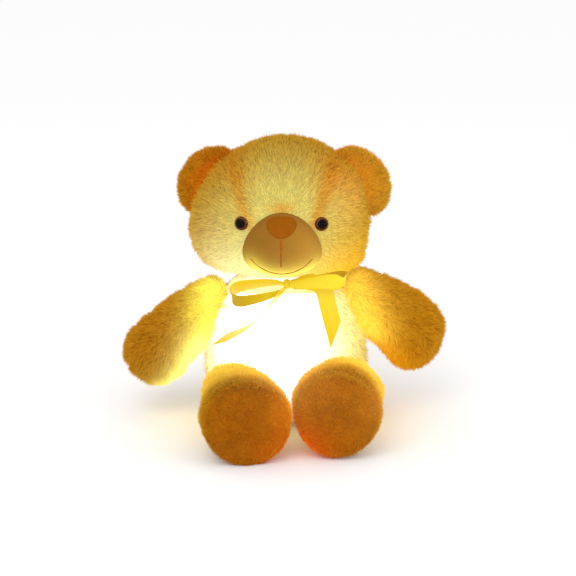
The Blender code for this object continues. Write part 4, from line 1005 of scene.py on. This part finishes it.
nose = nose_form()
light_up(nose, "nose")
nose.data.materials.append(looks["nose"])
print("nose:", len(nose.data.vertices), "points")


# %% The mouth's threads
def thread(name, points, radius, look):
    """A round thread through points."""
    curve = bpy.data.curves.new(name, "CURVE")
    curve.dimensions = "3D"
    curve.bevel_depth = radius
    curve.bevel_resolution = 2
    curve.use_fill_caps = True
    spline = curve.splines.new("POLY")
    spline.points.add(len(points) - 1)
    for spot, point in zip(spline.points, points):
        spot.co = (*point, 1)
    curve.materials.append(look)
    return add_object(name, curve)


def even_finish(name, colour, roughness, specular):
    """A finish of one colour."""
    constants = {"Base_Color": (*colour, 1), "Specular_IOR_Level": specular}
    return new_material(name, roughness, **constants)[0]


looks["thread"] = even_finish("brown_thread", (0.42, 0.085, 0.004), 0.8, 0.1)
looks["pale_thread"] = even_finish("pale_thread", (0.33, 0.13, 0.016), 0.8, 0.1)
# The upright thread starts on the nose and sinks into the groove below it.
z = np.linspace(NOSE_Z, 0.2205, 60)
share = np.clip((NOSE_Z - z) / NOSE_HALF, 0, 1)
stand = np.where(share < 1, NOSE_SWELL * np.sqrt(1 - share**2) - 0.0004, -0.0007)
x = np.linspace(-SMILE_HALF, SMILE_HALF, 60)
mouth = thread("mouth_thread", on_muzzle(0 * z, z, stand), 0.00065, looks["thread"])
smile_line = on_muzzle(x, smile_height(x), -0.0005)
smile = thread("smile_thread", smile_line, 0.0006, looks["pale_thread"])
print("threads:", mouth.name, smile.name)

# %% [markdown]
# ## Eyes
#
# A safety eye is a moulded dome on a shank, held by a washer behind the cloth. It is
# turned from one profile, so its edge is as crisp as the real one, and the faces near its
# middle get the black of the pupil.

# %% The eyes
DOME_EDGE, DOME_HEIGHT, PUPIL_SHARE = 0.0008, 0.0045, 0.64
looks["eye_brown"] = even_finish("eye_brown", (0.125, 0.030, 0.008), 0.2, 0.15)
looks["eye_black"] = even_finish("eye_black", (0.003, 0.002, 0.001), 0.2, 0.08)


def eye_profile():
    """Radius and height of the turned eye: its shank, its flat back and its dome."""
    rows = [(0.0016, -0.010), (0.0020, -0.010), (0.0020, -0.001), (EYE_RADIUS * 0.96, -0.001)]
    rows += [(EYE_RADIUS, 0.0), (EYE_RADIUS, DOME_EDGE)]
    for step in range(1, 12):
        angle = math.pi / 2 * step / 11.6
        rise = DOME_EDGE + DOME_HEIGHT * math.sin(angle)
        rows.append((EYE_RADIUS * math.cos(angle), rise))
    return rows


def eye_form(side):
    """A safety eye: a polished dome with a brown rim round a black pupil."""
    x = SIDES[side] * EYE_X
    surface = Vector((x, -0.0962 * math.sqrt(1 - (x / 0.1055) ** 2), EYE_Z))
    out = Vector((SIDES[side] * 0.26, -0.94, 0.16)).normalized()
    seat = surface + out * 0.0020
    turn = Vector((0, 0, 1)).rotation_difference(out).to_matrix()
    points = [
        [list(seat + turn @ Vector((r * math.cos(a), r * math.sin(a), h))) for a in circle(40)]
        for r, h in eye_profile()
    ]
    obj = ring_mesh(f"eye_{side}_dome", turned(points))
    obj.data.materials.append(looks["eye_brown"])
    obj.data.materials.append(looks["eye_black"])
    centre, axis = turned(seat), turned(out)
    for face in obj.data.polygons:
        away = np.array(face.center) - centre
        radial = np.linalg.norm(away - axis * (away @ axis))
        face.material_index = int(radial < EYE_RADIUS * PUPIL_SHARE)
    return obj


eye_domes = {side: eye_form(side) for side in SIDES}
print("eyes:", [obj.name for obj in eye_domes.values()])

# %% [markdown]
# ## Soles
#
# The foot is closed by an oval panel of shorter pile, pushed out by the filling. It is
# seen close and from the front, so it gets short real blades too, which hide the seam to
# the leg as they do on the real foot.

# %% The soles
SOLE_HALF_WIDTH, SOLE_HALF_HEIGHT = 0.0474, 0.0530
SOLE_PLACE, SOLE_DOME, SOLE_WALL = 0.1262, 0.0048, 0.0028
SOLE_PILE, SOLE_RIM_PILE, SOLE_BLADES = 0.0030, 0.0022, 26000


def sole_form(side):
    """A domed panel across the end of the leg, with a wall."""
    pivot, foot = (np.array(v, float) for v in LEGS[side])
    axis = (foot - pivot) / np.linalg.norm(foot - pivot)
    across = np.cross([0, 0, 1], axis)
    across /= np.linalg.norm(across)
    up = np.cross(axis, across)
    share = np.linspace(0.03, 1, 16)[:, None]
    angle = circle(72)[None]
    wide = SOLE_HALF_WIDTH * share * np.cos(angle) * (1 + FOOT_EDGE * np.sin(angle))
    high = SOLE_HALF_HEIGHT * LEG_HEIGHT[side] * share * np.sin(angle)
    front = SOLE_PLACE + SOLE_DOME * (1 - share**2) - 0.0045 * share**6 + 0 * angle
    flat = pivot + wide[..., None] * across + high[..., None] * up
    outer, inner = (flat + place[..., None] * axis for place in (front, front - SOLE_WALL))
    obj = ring_mesh(f"sole_{side}_panel", np.concatenate([outer, inner[::-1]]))
    p = points_of(obj)
    p[:, 2] = np.maximum(p[:, 2], 0.0006)
    set_points(obj, p)
    out = step_up(normals_of(obj) @ axis, -0.4, 0.2)
    rim = step_up(np.linalg.norm(p - p.mean(0), axis=1), 0.036, 0.046)
    comb = (p - p.mean(0)) / 0.045 + np.array([0, 0, 0.3])
    dress(obj, out, SOLE_PILE + SOLE_RIM_PILE * rim, comb)
    light_up(obj, f"leg_{side}", 0.5)
    obj.data.materials.append(looks["sole"])
    return obj


soles = {side: sole_form(side) for side in SIDES}
for side, sole in soles.items():
    settings = {"Seed": 12, "Width": 0.0008, "Tuft": 0.5}
    pile = grow_fur(sole, f"sole_{side}_pile", looks["sole"], SOLE_BLADES * SHARE, **settings)
    fur[f"sole_{side}"] = pile
bpy.data.objects.remove(blade)

# %% [markdown]
# ## Satin ribbon
#
# The bow is one length of 20 mm satin. Cloth simulation would settle it differently on
# each change, while here its folds have to match what is seen. So each piece is a strip
# swept along a line, with its own cross direction at every point, and then given a thin
# wall. The strip keeps its width, so its flat size stays that of the real ribbon.

# %% The satin material
BRIGHT_SATIN, DEEP_SATIN = (0.84, 0.66, 0.022, 1), (0.68, 0.47, 0.008, 1)
SHADED_SATIN = (0.45, 0.27, 0.010, 1)
SATIN_GLOW, LIT_GLOW = (0.90, 0.74, 0.03), (5.5, 5.5, 3.5, 1)

made, shader, wire = new_material("satin", 0.42, Specular_IOR_Level=0.25)
shade = stored(wire, "shade")
colour = mixed(wire, grain_of(wire, 700.0, 2.0), DEEP_SATIN, BRIGHT_SATIN)
# Where the shade attribute is set, painted shade darkens the satin's colour.
colour = mixed(wire, shade * 0.75, colour, SHADED_SATIN)
wire.plug(shader.inputs["Base Color"], colour)
# The emission is painted light from the lamp in the belly. Folds that turn away from the lamp
# get painted shade and stay dark. Where the ribbon lies on the lit chest, it is nearly as white
# as that.
glow = mixed(wire, stored(wire, "lit"), scaled(wire, SATIN_GLOW, 1 - shade), LIT_GLOW)
wire.plug(shader.inputs["Emission Color"], glow)
shader.inputs["Emission Strength"].default_value = 0.16
looks["satin"] = made
print("satin:", len(made.node_tree.nodes), "nodes")

# %% A strip of ribbon
RIBBON_WALL, RIBBON_CUP = 0.0004, 0.0008
ACROSS = 10


def add_wall(obj, thickness):
    """Gives a sheet its thickness, half of it on each side."""
    wall = obj.modifiers.new("wall", "SOLIDIFY")
    wall.thickness = thickness
    wall.offset = 0


def ribbon_mesh(name, points):
    """A satin sheet through rows of points."""
    count, steps, _ = points.shape
    number = np.arange(count * steps).reshape(count, steps)
    corners = [number[:-1, :-1], number[:-1, 1:], number[1:, 1:], number[1:, :-1]]
    faces = np.stack(corners, -1).reshape(-1, 4).tolist()
    mesh = bpy.data.meshes.new(name)
    mesh.from_pydata(points.reshape(-1, 3).tolist(), [], faces)
    mesh.shade_smooth()
    mesh.materials.append(looks["satin"])
    obj = add_object(name, mesh)
    add_wall(obj, RIBBON_WALL)
    return obj


def strip(name, centres, across, half_widths):
    """A ribbon along a line. Across gives each point's cross direction."""
    tangent = np.gradient(centres, axis=0)
    tangent /= np.linalg.norm(tangent, axis=1, keepdims=True)
    across = across - tangent * (across * tangent).sum(1, keepdims=True)
    across /= np.linalg.norm(across, axis=1, keepdims=True)
    normal = np.cross(tangent, across)
    normal /= np.linalg.norm(normal, axis=1, keepdims=True)
    share = np.linspace(-1, 1, ACROSS)
    points = (
        centres[:, None]
        + across[:, None] * (half_widths[:, None] * share)[..., None]
        + normal[:, None] * (RIBBON_CUP * (1 - share**2))[None, :, None]
    )
    return ribbon_mesh(name, points)


# %% Lines and their lengths
def length_of(points):
    return float(np.linalg.norm(np.diff(np.array(points, float), axis=0), axis=1).sum())


def smooth_line(points, count):
    """A smooth line through points, evenly spaced in its parameter."""
    points = np.array(points, float)
    last = len(points) - 1
    at = np.linspace(0, last, count)
    index = np.clip(at.astype(int), 0, last - 1)
    t = (at - index)[:, None]
    a, b, c, d = (points[np.clip(index + k, 0, last)] for k in (-1, 0, 1, 2))
    bend = (2 * a - 5 * b + 4 * c - d) * t**2
    return 0.5 * (2 * b + (c - a) * t + bend + (3 * b - a - 3 * c + d) * t**3)


# %% [markdown]
# ## The bow
#
# A loop is ribbon laid round in a flat eye, pinched where the knot holds it. The left one
# tips forward, so that one sees into it from above, and the right one lies nearly flat with
# its end folded. The tails start under the knot, twist as they fall and are cut to a
# point. Each is a line with a few given points, because these can be set one by one.

# %% The bow's loops
KNOT = np.array([-0.004, -0.0815, 0.1868])
KNOT_EDGE = 0.0030
LOOP_TURN = math.pi * 0.86
# Sizes of a loop, its tilt, how far it leans forward, how sharply it narrows to the knot,
# and how much its far end is folded.
LOOPS = {
    "left": {
        "reach": 0.0660,
        "drop": 0.0092,
        "half": 0.0108,
        "depth": 0.0150,
        "tilt": 34,
        "forward": 0.0,
        "taper": 0.70,
        "round": 0.0,
    },
    "right": {
        "reach": 0.0680,
        "drop": -0.0042,
        "half": 0.0108,
        "depth": 0.0120,
        "tilt": -11,
        "forward": -0.0050,
        "taper": 0.55,
        "round": 0.5,
    },
}


def loop_form(side):
    """A loop of ribbon from the knot and back to it, and its length."""
    shape = LOOPS[side]
    tilt = math.radians(shape["tilt"])
    axis = np.array([0, -math.sin(tilt), math.cos(tilt)])
    behind = np.array([0, math.cos(tilt), math.sin(tilt)])
    angle = np.linspace(-LOOP_TURN, LOOP_TURN, 64)
    floor = (1 + math.cos(LOOP_TURN)) / 2
    share = ((1 + np.cos(angle)) / 2 - floor) / (1 - floor)
    outward = SIDES[side] * (KNOT_EDGE + (shape["reach"] - KNOT_EDGE) * share)
    rise = -shape["drop"] * share + 0.0012 * np.sin(3 * angle) * share
    apart = shape["depth"] * (np.sin(angle) * (0.60 + 0.40 * share) - 0.25)
    centres = KNOT + np.stack([outward, shape["forward"] * share, rise], 1)
    centres = centres + apart[:, None] * behind
    across = axis + np.stack([SIDES[side] * 0.16 * share, 0.05 * share, 0 * share], 1)
    widths = shape["half"] * (0.28 + 0.72 * share ** shape["taper"])
    widths = widths * (1 - shape["round"] * np.exp(-(((angle + 0.35) / 0.38) ** 2)))
    piece = strip(f"bow_loop_{side}_satin", centres, across, widths)
    # Painted shade: the left loop's front half and the right loop's back half, most at the far
    # end.
    front = share * (angle < 0) if side == "left" else share * step_up(angle, -0.2, 0.2)
    write(piece, "shade", np.repeat(front, ACROSS))
    return piece, length_of(centres)


loops = {side: loop_form(side) for side in SIDES}
print("loops:", [round(length, 4) for _, length in loops.values()], "m of ribbon")

# %% The lines of the bow's tails
TAILS = {
    "left": [
        (-0.0070, -0.0850, 0.1830),
        (-0.0185, -0.0880, 0.1705),
        (-0.0318, -0.0880, 0.1533),
        (-0.0440, -0.0855, 0.1415),
        (-0.0590, -0.0815, 0.1310),
        (-0.0790, -0.0750, 0.1190),
    ],
    "right": [
        (0.0020, -0.0845, 0.1850),
        (0.0170, -0.0850, 0.1895),
        (0.0300, -0.0865, 0.1885),
        (0.0392, -0.0880, 0.1800),
        (0.0445, -0.0895, 0.1600),
        (0.0500, -0.0890, 0.1390),
    ],
}
TAIL_ACROSS = {
    "left": [
        (-0.5, -0.8, 0.5),
        (-0.25, -0.95, 0.4),
        (-0.09, -0.957, 0.28),
        (-0.05, -0.957, 0.36),
        (0.1, -0.9, 0.7),
        (0.1, -0.9, 0.8),
    ],
    "right": [(0.1, 0, 1), (0.1, 0, 1), (0.6, 0, 1), (1, 0, 0.6), (1, 0, 0.19), (1, 0, 0.19)],
}
# How far the end of a tail is cut on, at its left edge, at its point and at its right
# edge, and where the point lies between the edges.
TAIL_ENDS = {"left": (0.004, 0.018, -0.010), "right": (0.0295, 0.01475, 0.0)}
TAIL_POINTS = {"left": -0.35, "right": 0.0}
print("tails:", {side: len(line) for side, line in TAILS.items()}, "points each")

# %% The bow's tails
RIBBON_HALF_WIDTH = 0.010
TAIL_STEPS, CUT_STEPS = 60, 12


def tail_form(side):
    """A tail of ribbon, cut to a point, and its length."""
    line = smooth_line(TAILS[side], TAIL_STEPS)
    across = smooth_line(TAIL_ACROSS[side], TAIL_STEPS)
    opened = np.minimum(np.linspace(0, 1, TAIL_STEPS) * 3, 1)
    widths = RIBBON_HALF_WIDTH * (0.40 + 0.60 * np.sin(np.pi / 2 * opened))
    piece = strip(f"bow_tail_{side}_satin", line, across, widths)
    p = points_of(piece).reshape(TAIL_STEPS, ACROSS, 3)
    along = (line[-1] - line[-5]) / np.linalg.norm(line[-1] - line[-5])
    point = np.interp(np.linspace(-1, 1, ACROSS), (-1, TAIL_POINTS[side], 1), TAIL_ENDS[side])
    for back in range(CUT_STEPS):
        p[-1 - back] += along * (point * (1 - back / CUT_STEPS))[:, None]
    set_points(piece, p.reshape(-1, 3))
    return piece, length_of(line) + 0.007


tails = {side: tail_form(side) for side in SIDES}
print("tails:", [round(length, 4) for _, length in tails.values()], "m of ribbon")

# %% [markdown]
# ## Knot and neck ribbon
#
# The knot is the same ribbon wound once round the crossing, so it is a small waisted ball
# with pleats. The ribbon round the neck is stretched over the torso's cover. It is made
# from the torso's own table, a little wider, so that it can neither float nor sink.

# %% The knot
KNOT_SIZE = np.array([0.0046, 0.0062, 0.0060])


def knot_form():
    """A ball with a waist and pleats."""
    u, v = ball_angles(28, 36)
    z = np.sin(u)
    round_share = np.cos(u) * (1 - 0.12 * np.cos(np.pi * z)) * (1 + 0.06 * np.sin(4 * v + 2 * z))
    unit = np.stack([np.cos(v) * round_share, np.sin(v) * round_share, z], 2)
    obj = ring_mesh("bow_knot_satin", (KNOT + unit * KNOT_SIZE)[1:-1])
    obj.data.materials.append(looks["satin"])
    return obj


knot = knot_form()
print("knot:", len(knot.data.vertices), "points")

# %% The ribbon round the neck
BAND_LOW, BAND_HIGH = 0.1640, 0.1765
BAND_STAND, BAND_FRONT, BAND_RISE = 0.0022, 0.0742, 0.0085


def band_form():
    """The ribbon on the torso's cover, raised in front to meet the bow, and its length."""
    angle = np.linspace(0, 2 * np.pi, 120)
    ahead = np.maximum(-np.sin(angle), 0)
    rows = []
    for height in np.linspace(BAND_LOW, BAND_HIGH, 8):
        width, _, back = (float(column) for column in along_table(TORSO_ROWS, height))
        depth = np.where(np.sin(angle) < 0, BAND_FRONT, back + BAND_STAND)
        x, z = (width + BAND_STAND) * np.cos(angle), height + BAND_RISE * ahead**2
        rows.append(np.stack([x, depth * np.sin(angle), z], 1))
    rows = np.array(rows).transpose(1, 0, 2)
    obj = ribbon_mesh("neck_band_satin", rows)
    x, y = rows[..., 0].ravel(), rows[..., 1].ravel()
    write(obj, "lit", 0.85 * step_up(-y, -0.02, 0.02) * step_up(0.06 - x, 0, 0.06))
    return obj, length_of(rows[:, 0])


band, band_length = band_form()
print("neck band:", round(band_length, 4), "m of ribbon")

# %% [markdown]
# ## Hard pieces and pocket
#
# The battery case, its cells, the zip and the lamp are moulded or stamped, so the packed
# model already has their shape. They only need finishes, and a little grain keeps these
# from looking like bare colour.

# %% Finishes for the hard pieces
def plain(name, colour, roughness, metallic=0.0, speck=0.06):
    """A finish of one colour with a faint grain."""
    made, shader, wire = new_material(name, roughness, Metallic=metallic)
    shade = grain_of(wire, 500.0, 2.0) * (2 * speck) + (1 - speck)
    wire.plug(shader.inputs["Base Color"], scaled(wire, colour, shade))
    return made


# Colour, roughness and metal of each finish, and the nodes that get it.
HARD_PIECES = {
    "case_plastic": (
        (0.80, 0.80, 0.78),
        0.45,
        0.0,
        ("battery_case", "battery_door", "lamp_base", "eye_washer_left", "eye_washer_right"),
    ),
    "button_plastic": ((0.75, 0.25, 0.03), 0.45, 0.0, ("push_button",)),
    "nickel_steel": (
        (0.60, 0.59, 0.57),
        0.32,
        1.0,
        ("zip_slider", "zip_pull", "door_screw", "contact_plate_low", "contact_plate_high"),
    ),
    "cell_wrap": (
        (0.10, 0.28, 0.12),
        0.35,
        0.3,
        ("battery_cell_1", "battery_cell_2", "battery_cell_3"),
    ),
    "green_board": ((0.03, 0.20, 0.08), 0.4, 0.0, ("lamp_board",)),
    "led_lens": ((0.95, 0.85, 0.50), 0.2, 0.0, ("led_1", "led_2", "led_3")),
    "frosted_plastic": ((0.95, 0.93, 0.85), 0.6, 0.0, ("lamp_diffuser",)),
    "lead_jacket": ((0.04, 0.04, 0.04), 0.6, 0.0, ("inner_lead",)),
    "zip_teeth": ((0.62, 0.42, 0.10), 0.5, 0.0, ("zip_chain",)),
}
for finish, (colour, roughness, metallic, names) in HARD_PIECES.items():
    look = plain(finish, colour, roughness, metallic)
    for name in names:
        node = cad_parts[name]
        node.data.materials.clear()
        node.data.materials.append(look)
print("carried over:", sum(len(row[3]) for row in HARD_PIECES.values()), "CAD nodes")

# %% [markdown]
# ## The pocket and the zip's tapes
#
# Behind the zip hangs a cloth pocket for the battery case, and the zip's teeth sit on two
# woven tapes. Both are thin and flat, so plain boxes with enough points to bend do. They
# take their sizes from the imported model's own boxes.


# %% The pocket and the zip's tapes
LINING_WALL, LINING_GAP = 0.0006, 0.0004


def boxed_sheet(name, low, high, finish, open_back=False):
    """A thin cloth box, open at the back if wanted."""
    bm = bmesh.new()
    bmesh.ops.create_cube(bm, size=1)
    low, high = Vector(low), Vector(high)
    for vert in bm.verts:
        for k in range(3):
            vert.co[k] = (low[k] + high[k]) / 2 + vert.co[k] * (high[k] - low[k])
    if open_back:
        back = [face for face in bm.faces if face.normal.y > 0.9]
        bmesh.ops.delete(bm, geom=back, context="FACES")
    bmesh.ops.subdivide_edges(bm, edges=bm.edges[:], cuts=6, use_grid_fill=True)
    mesh = bpy.data.meshes.new(name)
    bm.to_mesh(mesh)
    bm.free()
    mesh.materials.append(finish)
    return add_object(name, mesh)


low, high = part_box("pocket_lining")
lining_look = plain("lining_cloth", (0.80, 0.74, 0.60), 0.9, 0.0, 0.15)
spare = Vector((LINING_GAP, LINING_GAP, LINING_GAP))
lining = boxed_sheet("pocket_cloth", low + spare, high - spare, lining_look, True)
add_wall(lining, LINING_WALL)
tape_look = plain("zip_tape_weave", (0.50, 0.30, 0.08), 0.9, 0.0, 0.2)
tapes = {}
for side in SIDES:
    low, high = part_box(f"zip_tape_{side}")
    tapes[side] = (boxed_sheet(f"zip_tape_{side}_cloth", low, high, tape_look), high - low)
print("cloth:", lining.name, *(tape.name for tape, _ in tapes.values()))

# %% [markdown]
# ## Riding
#
# When a joint moves, a stuffed limb bends at its seam and stays whole. Here the torso's cover
# and fur, the ears, the soles, the face's small pieces, the pocket and most of the bow ride on
# the bodies, while the head, the limbs, their fur and the bow's tails only have their places
# baked in. Then the imported nodes that the pieces stand for are hidden.

# %% What rides on what
limb_covers = [limb for limb, _, _ in limbs.values()]
loop_pieces, tail_pieces, tape_pieces = (
    [piece for piece, _ in group.values()] for group in (loops, tails, tapes)
)
for obj in (torso, head, *limb_covers, *ears.values()):
    obj.data.materials.append(looks["plush"])

for obj in (torso, fur["torso"], lining, knot, band, *tape_pieces, *loop_pieces):
    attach(obj, "torso")
for obj in (muzzle, nose, mouth, smile, *eye_domes.values()):
    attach(obj, "head")
for obj in (head, fur["head"]):
    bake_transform(obj)
for side in SIDES:
    for obj in (ears[side], fur[f"ear_{side}"]):
        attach(obj, f"ear_{side}")
    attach(fur[f"sole_{side}"], f"leg_{side}")
    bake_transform(tails[side][0])
    arm, pivot, axis = limbs[f"arm_{side}"]
    for obj in (arm, fur[f"arm_{side}"]):
        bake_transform(obj)
    leg, pivot, axis = limbs[f"leg_{side}"]
    for obj in (leg, fur[f"leg_{side}"]):
        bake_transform(obj)
    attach(soles[side], f"leg_{side}")
print("bending:", len(limb_covers), "limbs,", len(tail_pieces), "tails and the neck")

# %% What each piece stands for
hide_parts("torso_skin", "torso_stuffing")
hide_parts("head_skin", "head_stuffing", "neck_seam")
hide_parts("muzzle_skin", "muzzle_stuffing")
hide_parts("nose_patch")
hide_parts("mouth_stitch")
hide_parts("smile_stitch")
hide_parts("bow_knot")
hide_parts("neck_ribbon")
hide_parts("pocket_lining")
for side in SIDES:
    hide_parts(f"eye_{side}")
    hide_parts(f"ear_{side}")
    for kind, seam in (("arm", "shoulder"), ("leg", "hip")):
        skin, stuffing = f"{kind}_{side}_skin", f"{kind}_{side}_stuffing"
        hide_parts(skin, stuffing, f"{seam}_seam_{side}")
    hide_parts(f"sole_{side}")
    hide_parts(f"bow_loop_{side}")
    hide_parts(f"bow_tail_{side}")
    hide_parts(f"zip_tape_{side}")

# %% Material slots
slots = {
    "honey_plush": [torso, head, *fur.values(), *ears.values(), *limb_covers],
    "short_pile": [muzzle, *soles.values()],
    "nose_cloth": [nose],
    "brown_thread": [mouth, smile],
    "eye_plastic": list(eye_domes.values()),
    "satin": [knot, band, *loop_pieces, *tail_pieces],
    "lining_cloth": [lining],
    "zip_tape": tape_pieces,
}
for name, objs in slots.items():
    for obj in objs:
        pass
print("slots:", {name: len(objs) for name, objs in slots.items()})

# %% [markdown]
# ## What is soft
#
# Here the stuffed pieces are only counted.

# %% Padded pieces
print("padded:", 5 + len(soles) + len(ears) + len(limb_covers), "pieces")

for side in SIDES:
    piece, length = loops[side]
    piece, length = tails[side]

# %% [markdown]
# ## Studio
#
# A plain product set: a pale floor that keeps a soft shadow, a white background, an even
# light from all round, and two large lamps that give the forms a bright side.

# %% Floor and background
FLOOR_TONE = (0.97, 0.97, 0.97)
FLOOR_CORNERS = [(-12, -4, 0), (12, -4, 0), (12, 30, 0), (-12, 30, 0)]

floor_mesh = bpy.data.meshes.new("floor")
floor_mesh.from_pydata(FLOOR_CORNERS, [], [(0, 1, 2, 3)])
floor_mesh.materials.append(even_finish("floor", FLOOR_TONE, 1.0, 0.0))
floor = add_object("floor", floor_mesh)

world = bpy.data.worlds.new("studio")
bpy.context.scene.world = world
world.use_nodes = True
backdrop = world.node_tree.nodes["Background"]
backdrop.inputs["Color"].default_value = (1, 1, 1, 1)
backdrop.inputs["Strength"].default_value = 1.0
print("floor:", floor.name, "world:", world.name)

# %% Lamps
LAMP_TARGET, LAMP_SIZE = Vector((0, 0, 0.15)), 1.2


def area_light(name, place, power):
    """A square lamp that points at the bear."""
    light = bpy.data.lights.new(name, "AREA")
    light.size = LAMP_SIZE
    light.energy = power
    obj = add_object(name, light)
    obj.location = place
    obj.rotation_euler = (LAMP_TARGET - Vector(place)).to_track_quat("-Z", "Y").to_euler()


area_light("key", (-0.7, -1.2, 1.6), 9)
area_light("fill", (1.4, -0.8, 0.9), 3)
print("lamps:", [light.name for light in bpy.data.lights])

# %% Camera
CAMERA_TARGET = Vector((0.0045, 0, 0.1585))
AZIMUTH, ELEVATION, DISTANCE = math.radians(-5), math.radians(16), 1.6

camera = bpy.data.cameras.new("camera")
camera.lens = 80.4
camera.sensor_width = 36
cam = add_object("camera", camera)
level = math.cos(ELEVATION)
direction = Vector(
    (math.sin(AZIMUTH) * level, -math.cos(AZIMUTH) * level, math.sin(ELEVATION))
)
cam.location = CAMERA_TARGET + direction * DISTANCE
cam.rotation_euler = (-direction).to_track_quat("-Z", "Y").to_euler()
bpy.context.scene.camera = cam
bpy.context.scene.view_settings.view_transform = "Standard"
print("camera:", [round(v, 3) for v in cam.location])
